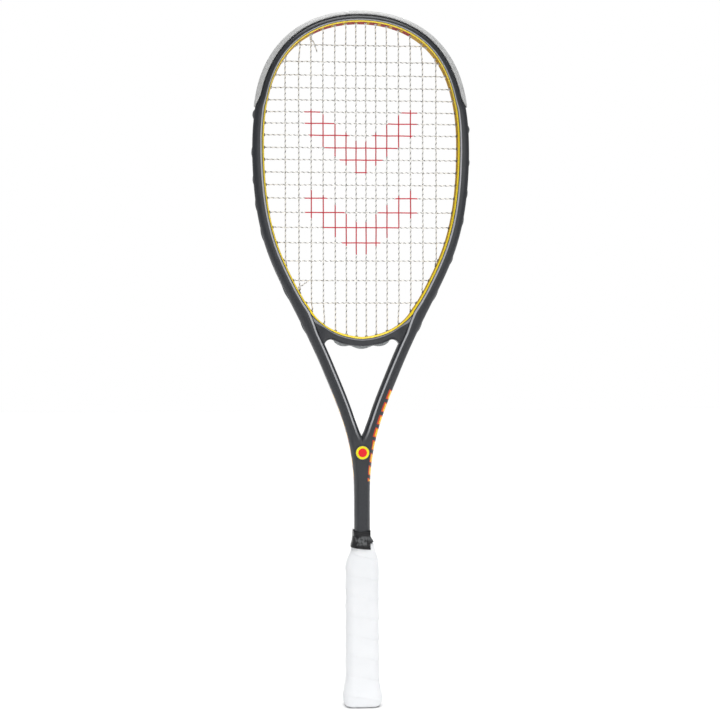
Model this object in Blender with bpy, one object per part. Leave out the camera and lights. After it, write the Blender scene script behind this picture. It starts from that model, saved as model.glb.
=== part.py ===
"""A strung squash racket, upright on its butt.

+Z runs from the butt cap to the top of the head, the string plane is X-Z, and the near face looks along -Y.
The origin is the centre of the butt cap's flat end. Lengths are in metres.
"""

import math

import bmesh
import bpy
import numpy as np

MM = 0.001

# Driving dimensions
LENGTH = 686 * MM
WIDTH = 215 * MM
SHAFT_WIDTH = 15.1 * MM
GAP = 0.3 * MM
STRING_RADIUS = 0.6 * MM
SHAFT_END = 9 * MM

# Outer outline of the right half of the frame, from the top of the head to the end of the shaft: x, z,
# heading in degrees from straight down (positive leans outwards), and the curve handles before and after.
OUTLINE = (
    (0, LENGTH, 90, 0, 35 * MM),
    (WIDTH / 2, 558.4 * MM, 0, 113.8 * MM, 120.3 * MM),
    (38.3 * MM, 331.2 * MM, -22.6, 104.5 * MM, 48.5 * MM),
    (SHAFT_WIDTH / 2, 207.5 * MM, 0, 51.3 * MM, 0),
    (SHAFT_WIDTH / 2, SHAFT_END, 0, 0, 0),
)
# Upper and lower edges of the throat bridge, right half, in the same form.
BRIDGE_UPPER = (
    (48.0 * MM, 387.6 * MM, -34.7, 0, 27.3 * MM),
    (0, 364.2 * MM, -90, 1 * MM, 0),
)
BRIDGE_LOWER = (
    (36.5 * MM, 353 * MM, 160.4, 0, 4.5 * MM),
    (30.4 * MM, 361.6 * MM, -90, 5 * MM, 4 * MM),
    (0, 355 * MM, -90, 20 * MM, 0),
)
# Where the bridge's upper edge ends, inside the frame.
BRIDGE_UPPER_END = (54.3 * MM, 396.6 * MM)
BRIDGE_HALF_DEPTH = 9.6 * MM

# Sizes that change along the frame: height of the outer outline, value. They hold between the heights given.
TUBE_WIDTH = (
    (262, 13.8), (268, 12.5), (280, 11.6), (364, 11.7), (374, 13.6), (383, 14.6), (394, 12.9), (405, 12.2),
    (450, 11.7), (548, 11.6), (600, 12.0), (686, 11.5),
)
HALF_DEPTH = ((0, 9.0), (230, 9.2), (300, 9.7), (400, 10.0), (600, 10.0), (686, 9.6))
BUMPER_SEAT = ((0, 0), (545, 0), (570, 0.6), (590.4, 1.0), (594.8, 3.4), (686, 3.4))
CHANNEL_DEPTH = ((0, 0), (348, 0), (359, 3.0), (590.4, 3.0), (594.8, 2.2), (686, 2.2))
CHANNEL_HALF_WIDTH = 3.9 * MM
SPLIT_Z = 262 * MM

# The notch between the arms, below the height where they meet.
CROTCH_DROP = 4 * MM
CROTCH_BEVEL = 1.2 * MM
CROTCH_DEPTHS = (0.70, 0.38)

# Half of the frame's section, outer rim to inner face: share of the width, share of the half depth.
SECTION = ((0.0, 0.46), (0.09, 0.78), (0.34, 0.985), (0.62, 0.985), (0.90, 0.70), (1.0, 0.38))
SHARED_POINTS = 5

# The strings: distances between neighbours, from the middle out and from the top down.
FIRST_MAIN = 4.9 * MM
MAIN_STEPS = (9.9, 10.9, 11.8, 11.8, 12.2, 13.3)
TOP_CROSS = 652.2 * MM
CROSS_STEPS = (
    16.4, 13.3, 12.5, 12.1, 11.7, 11.2, 11.7, 12.3, 11.9, 12.4,
    12.5, 13.0, 14.1, 14.8, 15.1, 17.9, 19.3, 22.2,
)
WEAVE = 1.55 * MM
HOLE_SPACING = 5.6 * MM
HOLE_LEAN = 0.12
LANE = 2.1 * MM
LANE_ENTRY = 3.2 * MM
GROOVE_STEP = 9 * MM
TURN_IN = 0.5 * MM
MOUTH_REACH = 0.4 * MM
SHARED_OFFSET = 0.77 * MM
TOP_HOLE_LEAD = 4 * MM
BED_MIDDLE_Z = 500 * MM
STRING_SIDES = 4

# The two tied ends: gap to the main they are wound on, turns, and where the winding and the free end lie,
# measured from the string's last hole.
KNOT_GAP = 0.45 * MM
KNOT_TURNS = 1.25
KNOT_TOP = (-2.6 * MM, -5.2 * MM)
KNOT_FOOT = (3.0 * MM, 5.6 * MM)
TAIL_TOP = ((2.2 * MM, -3.0 * MM, -7 * MM), (5 * MM, -3.3 * MM, -16 * MM))
TAIL_FOOT = ((4 * MM, 2.6 * MM, 7 * MM), (9 * MM, 3.3 * MM, 11 * MM))

# The grommets: strip and barrel sizes, measured from the frame's outer outline inwards.
BARREL_RADIUS = 1.5 * MM
BORE_RADIUS = 1.12 * MM
SHARED_BARREL_RADIUS = 2.5 * MM
SHARED_BORE_RADIUS = 1.95 * MM
BARREL_PROUD = 1.0 * MM
HOLE_LEAD = 4 * MM
SIDES = 6
BUMPER_LAY = 1.25 * MM
STRIP_LAY = 0.8 * MM
BUMPER_END_Z = 595.8 * MM
STRIP_TOP_Z = 590 * MM
STRIP_END_Z = 362.5 * MM
THROAT_STRIP_HALF = 28.4 * MM
BRIDGE_CHANNEL = 2.6 * MM
BUMPER_BASE = 2.2 * MM
STRIP_BASE = 1.4 * MM
THROAT_BASE = 1.2 * MM
BUMPER_CROSSES = 5
BRIDGE_MAINS = 3

# Half sections of the guard and of the strips: depth below the outer outline, distance from the string plane.
BUMPER_SECTION = (
    (2.2, 0.0), (2.2, 2.9), (0.5, 3.3), (0.0, 4.4), (0.9, 6.7), (3.0, 7.5), (3.1, 4.0), (5.1, 3.5),
)
STRIP_SECTION = ((1.7, 0.0), (1.7, 2.9), (0.2, 2.95), (0.2, 3.5), (2.7, 3.55))
THROAT_SECTION = ((1.5, 0.0), (1.5, 2.9), (0.0, 2.95), (0.0, 3.5), (2.3, 3.55))


def clear_scene():
    for obj in list(bpy.data.objects):
        bpy.data.objects.remove(obj)


def material(name, colour, roughness, metallic=0.0):
    made = bpy.data.materials.new(name)
    made.use_nodes = True
    shader = made.node_tree.nodes["Principled BSDF"]
    shader.inputs["Base Color"].default_value = (*colour, 1)
    shader.inputs["Roughness"].default_value = roughness
    shader.inputs["Metallic"].default_value = metallic
    return made


def add_object(name, points, faces, finish=None, smooth=True):
    mesh = bpy.data.meshes.new(name)
    mesh.from_pydata([tuple(p) for p in points], [], faces)
    bm = bmesh.new()
    bm.from_mesh(mesh)
    bmesh.ops.remove_doubles(bm, verts=bm.verts, dist=1e-7)
    bmesh.ops.recalc_face_normals(bm, faces=bm.faces)
    bm.to_mesh(mesh)
    bm.free()
    if smooth:
        mesh.shade_smooth()
        mesh.set_sharp_from_angle(angle=math.radians(40))
    made = bpy.data.objects.new(name, mesh)
    bpy.context.collection.objects.link(made)
    if finish:
        mesh.materials.append(finish)
    return made


def add_mirror(obj):
    mirror = obj.modifiers.new("Mirror", "MIRROR")
    mirror.merge_threshold = 0.00002
    return mirror


def add_boolean(obj, operation, other):
    cut = obj.modifiers.new(other.name, "BOOLEAN")
    cut.operation = operation
    cut.solver = "EXACT"
    cut.object = other
    other.hide_render = True
    other.display_type = "WIRE"
    return cut


# ---- paths in the X-Z plane ----


def heading(degrees):
    angle = math.radians(degrees)
    return np.array([math.sin(angle), -math.cos(angle)])


def bezier_chain(knots, steps=60):
    """Points on the smooth curve through the knots."""
    points = []
    for a, b in zip(knots, knots[1:]):
        start, end = np.array(a[:2]), np.array(b[:2])
        out, back = start + heading(a[2]) * a[4], end - heading(b[2]) * b[3]
        for t in np.linspace(0, 1, steps, endpoint=False):
            u = 1 - t
            points.append(u**3 * start + 3 * u * u * t * out + 3 * u * t * t * back + t**3 * end)
    points.append(np.array(knots[-1][:2]))
    return np.array(points)


def lengths(path):
    return np.concatenate([[0], np.cumsum(np.linalg.norm(np.diff(path, axis=0), axis=1))])


def at(path, s):
    run = lengths(path)
    return np.array([np.interp(s, run, path[:, 0]), np.interp(s, run, path[:, 1])])


def inward(path, s, reach=0.5 * MM):
    """Unit normal of the path at s, on the side that faces the strings on the frame's outline."""
    along = at(path, s + reach) - at(path, s - reach)
    along /= np.linalg.norm(along)
    return np.array([along[1], -along[0]])


def s_at_height(path, z):
    """Distance along a path whose heights fall all the way."""
    return float(np.interp(-z, -path[:, 1], lengths(path)))


def crossing(path, origin, direction):
    """Distance along the path where the ray meets it, and the distance along the ray."""
    run = lengths(path)
    best = None
    for i in range(len(path) - 1):
        edge = path[i + 1] - path[i]
        det = edge[0] * -direction[1] + direction[0] * edge[1]
        if abs(det) < 1e-15:
            continue
        gap = origin - path[i]
        share = (gap[0] * -direction[1] + direction[0] * gap[1]) / det
        reach = (edge[0] * gap[1] - edge[1] * gap[0]) / det
        if -1e-9 <= share <= 1 + 1e-9 and reach >= 0 and (best is None or reach < best[1]):
            best = (run[i] + share * (run[i + 1] - run[i]), reach)
    return best


def keyed(keys, z):
    return float(np.interp(z / MM, [k[0] for k in keys], [k[1] for k in keys])) * MM


OUTER = bezier_chain(OUTLINE)
SPLIT_S = s_at_height(OUTER, SPLIT_Z)


def tube_width(s):
    """Width of the tube in the string plane; below the crotch, half the width of the shaft."""
    here, normal = at(OUTER, s), inward(OUTER, s)
    if s >= SPLIT_S - 1e-9:
        return here[0] / -normal[0]
    return keyed(TUBE_WIDTH, here[1])


def offset_path(stations, depth_of):
    """Path at a depth below the frame's outer outline, right half."""
    return np.array([at(OUTER, s) + inward(OUTER, s) * depth_of(s) for s in stations])


def seat_depth(s):
    return keyed(BUMPER_SEAT, at(OUTER, s)[1])


def lay_depth(s):
    z = at(OUTER, s)[1]
    ends = [STRIP_TOP_Z, BUMPER_END_Z - 2 * MM]
    return float(np.interp(z, ends, [STRIP_LAY + seat_depth(s), BUMPER_LAY]))


# ---- the frame ----


def frame_stations():
    top = np.linspace(0, s_at_height(OUTER, 604 * MM), 13)
    bumper_end = [s_at_height(OUTER, z * MM) for z in (594.8, 590.4, 584)]
    head = np.linspace(s_at_height(OUTER, 574 * MM), s_at_height(OUTER, 406 * MM), 12)
    corner = [s_at_height(OUTER, z * MM) for z in (397, 390, 383, 376, 369, 364, 359)]
    arm = np.linspace(s_at_height(OUTER, 348 * MM), s_at_height(OUTER, 274 * MM), 6)
    crotch = [s_at_height(OUTER, z * MM) for z in (267, 262, 254, 243, 230, 212)]
    return [*top, *bumper_end, *head, *corner, *arm, *crotch, s_at_height(OUTER, SHAFT_END)]


def frame_ring(s, extra=0.0):
    """Front half of the section at s, as points from the channel's floor to the inner face."""
    here, normal = at(OUTER, s), inward(OUTER, s)
    width, z = tube_width(s), here[1]
    half = keyed(HALF_DEPTH, z) + extra
    seat = seat_depth(s)
    channel = keyed(CHANNEL_DEPTH, z)
    rim = SECTION[0][1] * half
    floor_y = min(CHANNEL_HALF_WIDTH, rim - 0.15 * MM)
    merged = s > SPLIT_S - 1e-9
    ring = [(seat + channel - extra, floor_y if channel else 0.5 * rim)]
    for share, depth in SECTION:
        ring.append((seat + share * (width - seat + extra) - extra * (1 - share), depth * half))
    points = [np.array([*(here + normal * u), y]) for u, y in ring]
    if merged:
        points = points[:SHARED_POINTS]
        points[-1] = np.array([0, (here + normal * width)[1], half])
    return [np.array([p[0], -p[2], p[1]]) for p in points]


def crotch_line(s):
    """The two points between the arms where they meet, each as its front point; the middle is highest."""
    middle = (at(OUTER, s) + inward(OUTER, s) * tube_width(s))[1]
    half = keyed(HALF_DEPTH, SPLIT_Z)
    lower, upper = CROTCH_DEPTHS
    return [np.array([0, -lower * half, middle - CROTCH_BEVEL]), np.array([0, -upper * half, middle])]


def back_of(points):
    return [p * np.array([1, -1, 1]) for p in points]


def frame_mesh(extra=0.0):
    """Half of the frame, open on the plane X = 0, where the other half meets it."""
    points, faces, rows = [], [], []
    for s in frame_stations():
        front = frame_ring(s, extra)
        if abs(s - SPLIT_S) < 0.1 * MM:
            front[-1][2] -= CROTCH_DROP
            front += crotch_line(s)
        if s == 0:
            for p in front:
                p[0] = 0
        ring = front + back_of(front)[::-1]
        rows.append(list(range(len(points), len(points) + len(ring))))
        points += ring
    for upper, lower in zip(rows, rows[1:]):
        closed = len(lower) == len(upper) == 2 * (len(SECTION) + 1)
        if len(upper) != len(lower):
            upper = upper[:SHARED_POINTS] + upper[-SHARED_POINTS:]
        n = len(lower)
        for i in range(n if closed else n - 1):
            if not closed and i == SHARED_POINTS - 1:
                continue
            j = (i + 1) % n
            faces.append((upper[i], lower[i], lower[j], upper[j]))
        if not closed:
            faces.append((upper[-1], lower[-1], lower[0], upper[0]))
    faces.append(tuple(rows[-1]))
    return points, faces


# ---- the throat bridge ----


def bridge_lower(t):
    path = bezier_chain(BRIDGE_LOWER)[::-1]
    return at(path, t * lengths(path)[-1])


def bridge_up(t):
    """Unit normal of the bridge's lower edge, towards the strings."""
    along = bridge_lower(min(t + 0.005, 1)) - bridge_lower(max(t - 0.005, 0))
    along /= np.linalg.norm(along)
    return np.array([-along[1], along[0]]) if t > 0.005 else np.array([0, 1.0])


def bridge_share(x):
    """Share of the lower edge between its middle and the point this far out."""
    path = bezier_chain(BRIDGE_LOWER)[::-1]
    return float(np.interp(x, path[:, 0], lengths(path))) / lengths(path)[-1]


def bridge_shares(end=THROAT_STRIP_HALF + 2 * GAP):
    return [bridge_share(x * MM) for x in (0, 6, 12, 18, 24)] + [bridge_share(end)]


def bridge_rings():
    upper = np.vstack([np.array([BRIDGE_UPPER_END]), bezier_chain(BRIDGE_UPPER)])[::-1]
    rings = []
    for t in [*bridge_shares(), bridge_share(30.6 * MM), 0.78, 0.86, 0.93, 1.0]:
        low, high = bridge_lower(t), at(upper, t * lengths(upper)[-1])
        across = high - low
        half = BRIDGE_HALF_DEPTH
        channel = BRIDGE_CHANNEL if t <= bridge_share(THROAT_STRIP_HALF + 2 * GAP) else 0
        floor = low + bridge_up(t) * channel
        front = [np.array([*floor, CHANNEL_HALF_WIDTH if channel else 0.5 * SECTION[0][1] * half])]
        for share, depth in SECTION:
            front.append(np.array([*(low + across * share), depth * half]))
        front = [np.array([p[0] if t else 0, -p[2], p[1]]) for p in front]
        rings.append(front + back_of(front)[::-1])
    return rings


def loft(rings, closed=True, cap_start=True, cap_end=True):
    """Points and faces of a skin over the rings, which all have the same number of points."""
    n = len(rings[0])
    points = [p for ring in rings for p in ring]
    faces = []
    for k in range(len(rings) - 1):
        for i in range(n if closed else n - 1):
            j = (i + 1) % n
            faces.append((k * n + i, k * n + j, (k + 1) * n + j, (k + 1) * n + i))
    if cap_start:
        faces.append(tuple(range(n)))
    if cap_end:
        faces.append(tuple(range((len(rings) - 1) * n, len(rings) * n)))
    return points, faces


# ---- string holes ----


def head_inner_path():
    """Inner face of the head, right half: along the tube, then along the bridge's upper edge."""
    stop = s_at_height(OUTER, 384 * MM)
    tube = [at(OUTER, s) + inward(OUTER, s) * tube_width(s) for s in np.linspace(0, stop, 150)]
    tube = [p for p in tube if p[1] > 388.5 * MM]
    return np.vstack([tube, bezier_chain(BRIDGE_UPPER)])


def lay_path():
    """Where the string lies in the outer groove, right half, from the top to the bottom of the side strip."""
    stop = s_at_height(OUTER, 359 * MM)
    return offset_path(np.linspace(0, stop, 160), lay_depth)


def bridge_lay_path():
    """Where the string lies under the bridge, from the middle to the right end of the throat strip."""
    path = bezier_chain(BRIDGE_LOWER)[::-1]
    path = np.array([p for p in path if p[0] < 31 * MM])
    return path + np.array([0, STRIP_LAY])


INNER = head_inner_path()
LAY = lay_path()
BRIDGE_LAY = bridge_lay_path()
MAINS = [FIRST_MAIN + sum(MAIN_STEPS[:i]) * MM for i in range(len(MAIN_STEPS) + 1)]
CROSSES = [TOP_CROSS - sum(CROSS_STEPS[:i]) * MM for i in range(len(CROSS_STEPS) + 1)]


def spread(places):
    """Pushes neighbours apart, in their order, until none is nearer than the hole spacing."""
    places = list(places)
    for _ in range(200):
        for i in range(len(places) - 1):
            short = HOLE_SPACING - (places[i + 1] - places[i])
            if short > 0:
                places[i] -= short / 2
                places[i + 1] += short / 2
    return places


def hole_table():
    """Every string hole of the right half: name to mouth, axis, place on the lay path and which path that is.
    Holes are put in order along the inner face, a top main's ahead of a cross's that meets it there."""
    up, down, right = np.array([0, 1.0]), np.array([0, -1.0]), np.array([1.0, 0])
    found = []
    for i, x in enumerate(MAINS):
        s, _ = crossing(INNER, np.array([x, BED_MIDDLE_Z]), up)
        found.append((s - TOP_HOLE_LEAD, s, ("main", i, "top"), up))
        s, _ = crossing(INNER, np.array([x, BED_MIDDLE_Z]), down)
        found.append((s, s, ("main", i, "foot"), down))
    for j, z in enumerate(CROSSES):
        s, _ = crossing(INNER, np.array([0, z]), right)
        found.append((s, s, ("cross", j, "side"), right))
    found.sort(key=lambda row: row[0])
    places = spread([row[1] for row in found])
    table = {}
    for place, (_, _, name, pull) in zip(places, found):
        mouth = at(INNER, place)
        if name[2] == "foot" and name[1] < BRIDGE_MAINS:
            axis, path, kind = down, BRIDGE_LAY, "bridge"
        else:
            nearest = min(np.linspace(0, s_at_height(OUTER, 362 * MM), 300), key=lambda s: far(mouth, s))
            axis = HOLE_LEAN * pull - inward(OUTER, nearest)
            axis /= np.linalg.norm(axis)
            path, kind = LAY, "outline"
        s, reach = crossing(path, mouth, axis)
        table[name] = {"mouth": mouth, "axis": axis, "s": s, "reach": reach, "kind": kind}
    return table


def far(point, s):
    return np.linalg.norm(point - at(OUTER, s) - inward(OUTER, s) * tube_width(s))


HOLES = hole_table()
TIE_TOP = ("main", 4, "top")
TIE_FOOT = ("main", 5, "foot")


def is_shared(name, side):
    return side < 0 and name in (TIE_TOP, TIE_FOOT)


def prism(start, end, radius, side):
    """Points and faces of a straight prism between two X-Z points, on the side +1 or -1."""
    start, end = np.array([side * start[0], 0, start[1]]), np.array([side * end[0], 0, end[1]])
    along = (end - start) / np.linalg.norm(end - start)
    across = np.array([0, 1.0, 0])
    third = np.cross(along, across)
    rings = []
    for place in (start, end):
        turn = [2 * math.pi * (i + 0.5) / SIDES for i in range(SIDES)]
        rings.append([place + radius * (math.cos(a) * across + math.sin(a) * third) for a in turn])
    return loft(rings)


def joined(solids):
    points, faces = [], []
    for more, skin in solids:
        base = len(points)
        points += more
        faces += [tuple(base + i for i in face) for face in skin]
    return points, faces


def drill(name, chosen, radius_of, start_of, end_of):
    """One helper object with a prism for each chosen hole."""
    solids = []
    for key, side in chosen:
        hole = HOLES[key]
        start = hole["mouth"] + hole["axis"] * start_of(hole)
        end = hole["mouth"] + hole["axis"] * end_of(hole)
        solids.append(prism(start, end, radius_of(is_shared(key, side)), side))
    points, faces = joined(solids)
    return add_object(name, points, faces, smooth=False)


def frame_hole_radius(shared):
    return (SHARED_BARREL_RADIUS if shared else BARREL_RADIUS) / math.cos(math.pi / SIDES) + GAP


def barrel_radius(shared):
    return SHARED_BARREL_RADIUS if shared else BARREL_RADIUS


def bore_radius(shared):
    return SHARED_BORE_RADIUS if shared else BORE_RADIUS


def add_grommets(strip, chosen, base_depth):
    """Adds the barrels to a strip, then bores them. The base starts base_depth under the string."""
    name = strip.name
    bore_start, barrel_start = -3 * BARREL_PROUD, -BARREL_PROUD
    barrels = drill(
        name + "_barrels", chosen, barrel_radius, lambda h: barrel_start, lambda h: h["reach"] - base_depth
    )
    bores = drill(name + "_bores", chosen, bore_radius, lambda h: bore_start, lambda h: h["reach"])
    add_boolean(strip, "UNION", barrels)
    add_boolean(strip, "DIFFERENCE", bores)


# ---- the guard and the strips ----


def mirrored_section(half):
    """A closed section from its half; the first and the last point of the half may lie on the middle."""
    front = [(u * MM, -y * MM) for u, y in half]
    back = [(u * MM, y * MM) for u, y in half if y > 0]
    return front + back[::-1]


def outline_strip(stations, section, side, seat=False):
    rings = []
    for s in stations:
        here, normal = at(OUTER, s), inward(OUTER, s)
        shift = seat_depth(s) if seat else 0
        ring = [(here + normal * (u + shift), y) for u, y in section]
        rings.append([np.array([side * p[0] if s > 0 else 0, y, p[1]]) for p, y in ring])
    return rings


def make_bumper(finish):
    stations = np.linspace(0, s_at_height(OUTER, BUMPER_END_Z), 17)
    rings = outline_strip(stations, mirrored_section(BUMPER_SECTION), 1)
    guard = add_object("bumper_guard", *loft(rings, cap_start=False), finish)
    add_mirror(guard)
    keys = [("main", i, "top") for i in range(len(MAINS))]
    keys += [("cross", j, "side") for j in range(BUMPER_CROSSES)]
    add_grommets(guard, [(key, side) for key in keys for side in (1, -1)], BUMPER_BASE)
    return guard


def side_strip_keys():
    keys = [("cross", j, "side") for j in range(BUMPER_CROSSES, len(CROSSES))]
    return keys + [("main", i, "foot") for i in range(BRIDGE_MAINS, len(MAINS))]


def make_side_strip(name, side, finish):
    stations = np.linspace(s_at_height(OUTER, STRIP_TOP_Z), s_at_height(OUTER, STRIP_END_Z), 20)
    rings = outline_strip(stations, mirrored_section(STRIP_SECTION), side, seat=True)
    strip = add_object(name, *loft(rings), finish)
    add_grommets(strip, [(key, side) for key in side_strip_keys()], STRIP_BASE)
    return strip


def make_throat_strip(finish):
    rings = []
    for s in bridge_shares(THROAT_STRIP_HALF):
        here, up = bridge_lower(s), bridge_up(s)
        ring = [(here + up * u, y) for u, y in mirrored_section(THROAT_SECTION)]
        rings.append([np.array([p[0] if s > 0 else 0, y, p[1]]) for p, y in ring])
    strip = add_object("throat_grommet_strip", *loft(rings, cap_start=False), finish)
    add_mirror(strip)
    keys = [("main", i, "foot") for i in range(BRIDGE_MAINS)]
    add_grommets(strip, [(key, side) for key in keys for side in (1, -1)], THROAT_BASE)
    return strip


# ---- the string ----


def hole_run(key, side, y=0.0):
    """The string through one hole, from outside the mouth to just inside the groove."""
    hole = HOLES[key]
    run = [-BARREL_PROUD - MOUTH_REACH, hole["reach"] - TURN_IN]
    points = []
    for reach in run:
        p = hole["mouth"] + hole["axis"] * reach
        points.append(np.array([side * p[0], y, p[1]]))
    return points


def groove_run(key_a, key_b, side, y_a, y_b, sign):
    """The string in the outer groove between two holes on one side of the racket. Where it passes other holes
    it keeps to the front or the back of the groove."""
    a, b = HOLES[key_a], HOLES[key_b]
    path = BRIDGE_LAY if a["kind"] == "bridge" else LAY
    lo, hi = sorted((a["s"], b["s"]))
    passed = any(
        lo + TURN_IN < hole["s"] < hi - TURN_IN for hole in HOLES.values() if hole["kind"] == a["kind"]
    )
    way = math.copysign(1, b["s"] - a["s"])
    first, last = a["s"] + way * TURN_IN, b["s"] - way * TURN_IN
    if passed:
        start, stop = a["s"] + way * LANE_ENTRY, b["s"] - way * LANE_ENTRY
        count = int(abs(stop - start) / GROOVE_STEP) + 2
        between = [(s, sign * LANE) for s in np.linspace(start, stop, count)]
    else:
        count = int(abs(last - first) / GROOVE_STEP)
        shares = np.linspace(0, 1, count + 2)[1:-1]
        between = [(first + (last - first) * t, y_a + (y_b - y_a) * t) for t in shares]
    spots = [(first, y_a), *between, (last, y_b)]
    return [np.array([side * at(path, s)[0], y, at(path, s)[1]]) for s, y in spots]


def middle_run():
    """The string under the bridge between the two middle mains."""
    foot = HOLES[("main", 0, "foot")]["s"]
    spots = [(-1, foot - TURN_IN), (-1, foot / 2), (1, foot / 2), (1, foot - TURN_IN)]
    return [np.array([side * at(BRIDGE_LAY, s)[0], 0, at(BRIDGE_LAY, s)[1]]) for side, s in spots]


def cross_string(j, side):
    """One cross, from the given side to the other, over and under the mains."""
    z = CROSSES[j]
    ring = [(x, 1) for x in MAINS[::-1]] + [(x, -1) for x in MAINS]
    points = []
    for k, (x, half) in enumerate(ring):
        lift = WEAVE if (k + j) % 2 else -WEAVE
        points.append(np.array([side * half * x, lift * (1 if side > 0 else -1), z]))
    reach = HOLES[("cross", j, "side")]["mouth"][0] - 1.5 * MM
    return [p for p in points if abs(p[0]) < reach]


def knot(key, heights, tail, side_y):
    """The tail wound round a main string on the left, and its free end."""
    x, z = -MAINS[key[1]], HOLES[key]["mouth"][1]
    radius = 2 * STRING_RADIUS + KNOT_GAP
    count = int(KNOT_TURNS * 6)
    points = []
    for i in range(count + 1):
        t = i / count
        angle = math.pi / 2 * side_y - 2 * math.pi * KNOT_TURNS * t
        rise = heights[0] + (heights[1] - heights[0]) * t
        points.append(np.array([x + radius * math.cos(angle), radius * math.sin(angle), z + rise]))
    return points + [np.array([x + p[0], p[1], z + p[2]]) for p in tail]


def string_route():
    """The one length of string, from the knot at the upper left to the knot at the lower left."""
    route = knot(TIE_TOP, KNOT_TOP, TAIL_TOP, -1)[::-1]
    route += hole_run(TIE_TOP, -1, -SHARED_OFFSET)
    last = len(MAINS) - 1
    route += groove_run(TIE_TOP, ("main", last, "top"), -1, -SHARED_OFFSET, 0, -1)
    route += hole_run(("main", last, "top"), -1)[::-1]
    for i in range(last, -1, -1):
        going_down = (last - i) % 2 == 0
        ends = ["top", "foot"] if going_down else ["foot", "top"]
        if i < last:
            route += hole_run(("main", i, ends[0]), -1, offset_in(("main", i, ends[0]), -1))[::-1]
        route += hole_run(("main", i, ends[1]), -1, offset_in(("main", i, ends[1]), -1))
        if i > 0:
            a, b = ("main", i, ends[1]), ("main", i - 1, ends[1])
            route += groove_run(a, b, -1, offset_in(a, -1), offset_in(b, -1), -1)
    route += middle_run()
    for i in range(len(MAINS)):
        ends = ["foot", "top"] if i % 2 == 0 else ["top", "foot"]
        route += hole_run(("main", i, ends[0]), 1)[::-1]
        route += hole_run(("main", i, ends[1]), 1)
        if i < last:
            route += groove_run(("main", i, ends[1]), ("main", i + 1, ends[1]), 1, 0, 0, -1)
    route += groove_run(("main", last, "top"), ("cross", 0, "side"), 1, 0, 0, 1)
    for j in range(len(CROSSES)):
        side = 1 if j % 2 == 0 else -1
        key = ("cross", j, "side")
        route += hole_run(key, side)[::-1]
        route += cross_string(j, side)
        route += hole_run(key, -side)
        if j < len(CROSSES) - 1:
            route += groove_run(key, ("cross", j + 1, "side"), -side, 0, 0, 1)
    route += groove_run(("cross", len(CROSSES) - 1, "side"), TIE_FOOT, -1, 0, SHARED_OFFSET, 1)
    route += hole_run(TIE_FOOT, -1, SHARED_OFFSET)[::-1]
    return route + knot(TIE_FOOT, KNOT_FOOT, TAIL_FOOT, 1)


def offset_in(key, side):
    """How far a working string stands off the middle of its hole: room for a tail in a shared one."""
    if key == TIE_TOP and side < 0:
        return SHARED_OFFSET
    if key == TIE_FOOT and side < 0:
        return -SHARED_OFFSET
    return 0.0


def tube_mesh(route, radius, sides):
    """A tube through the points, mitred at each."""
    route = [np.array(p, float) for p in route]
    kept = [route[0]]
    for p in route[1:]:
        if np.linalg.norm(p - kept[-1]) > 0.2 * MM:
            kept.append(p)
    route = kept
    steps = [(b - a) / np.linalg.norm(b - a) for a, b in zip(route, route[1:])]
    across = np.cross(steps[0], [0, 1.0, 0.3])
    across /= np.linalg.norm(across)
    rings = []
    for i, place in enumerate(route):
        before, after = steps[max(i - 1, 0)], steps[min(i, len(steps) - 1)]
        plane = before + after
        plane /= np.linalg.norm(plane)
        across = across - before * np.dot(across, before)
        across /= np.linalg.norm(across)
        third = np.cross(before, across)
        ring = []
        for k in range(sides):
            angle = 2 * math.pi * k / sides
            p = radius * (math.cos(angle) * across + math.sin(angle) * third)
            ring.append(place + p - before * np.dot(p, plane) / np.dot(before, plane))
        rings.append(ring)
    return loft(rings)


# ---- the handle ----


def rounded_box_ring(width, depth, corner, z, per_corner=3):
    """A ring with round corners, as points from the right side round through the back."""
    half_w, half_d = width / 2, depth / 2
    ring = []
    for quarter in range(4):
        cx = (half_w - corner) * (1 if quarter in (0, 3) else -1)
        cy = (half_d - corner) * (1 if quarter in (0, 1) else -1)
        for i in range(per_corner + 1):
            angle = math.pi / 2 * (quarter + i / per_corner)
            ring.append(np.array([cx + corner * math.cos(angle), cy + corner * math.sin(angle), z]))
    return ring


# Handle pieces, each from the butt upwards: height, width, depth, corner radius, in millimetres.
FOAM = ((4.6, 26.0, 21.2, 6), (132, 26.0, 21.2, 6), (148, 20.4, 20.4, 7))
FOAM_CAVITY = ((4.6, 17.0, 18.8, 3), (148, 17.0, 18.8, 3))
BASE_GRIP = ((21.6, 30.4, 25.6, 8), (133, 30.4, 25.6, 8), (150, 24.0, 22.6, 8.5))
BASE_GRIP_INNER = ((21.6, 26.6, 21.8, 6.3), (132, 26.6, 21.8, 6.3), (150, 20.9, 20.9, 7))
OVERGRIP = (
    (0.4, 33.6, 29.0, 9), (2.0, 36.2, 31.6, 10), (5.0, 37.3, 32.6, 10), (12, 36.8, 32.0, 10),
    (19, 34.6, 29.8, 9.5), (27, 32.7, 27.9, 9), (34, 32.4, 27.6, 9), (136, 32.4, 27.6, 9),
    (143, 30.8, 26.8, 9.5), (149, 27.6, 25.6, 10), (153, 24.8, 24.2, 10), (157, 22.4, 22.6, 9.5),
)
OVERGRIP_INNER = (
    (0.4, 31.6, 27.0, 8.0), (1.4, 34.2, 29.6, 8.8), (4.0, 35.8, 31.2, 9), (11, 35.8, 31.2, 9),
    (17, 33.6, 29.0, 8.5), (23, 31.1, 26.3, 8), (134, 31.1, 26.3, 8), (151, 24.6, 23.2, 8.8),
    (157, 17.6, 19.4, 5),
)
BUTT_CAP = (
    (0.0, 29.6, 25.0, 7.5), (1.4, 33.4, 28.8, 8.5), (4.0, 35.1, 30.5, 8.7), (10, 35.1, 30.5, 8.7),
    (16, 32.9, 28.3, 8), (21, 29.6, 24.8, 7.5),
)
BUTT_CAP_INNER = ((4.2, 26.7, 21.9, 6.3), (21, 26.7, 21.9, 6.3))
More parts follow.
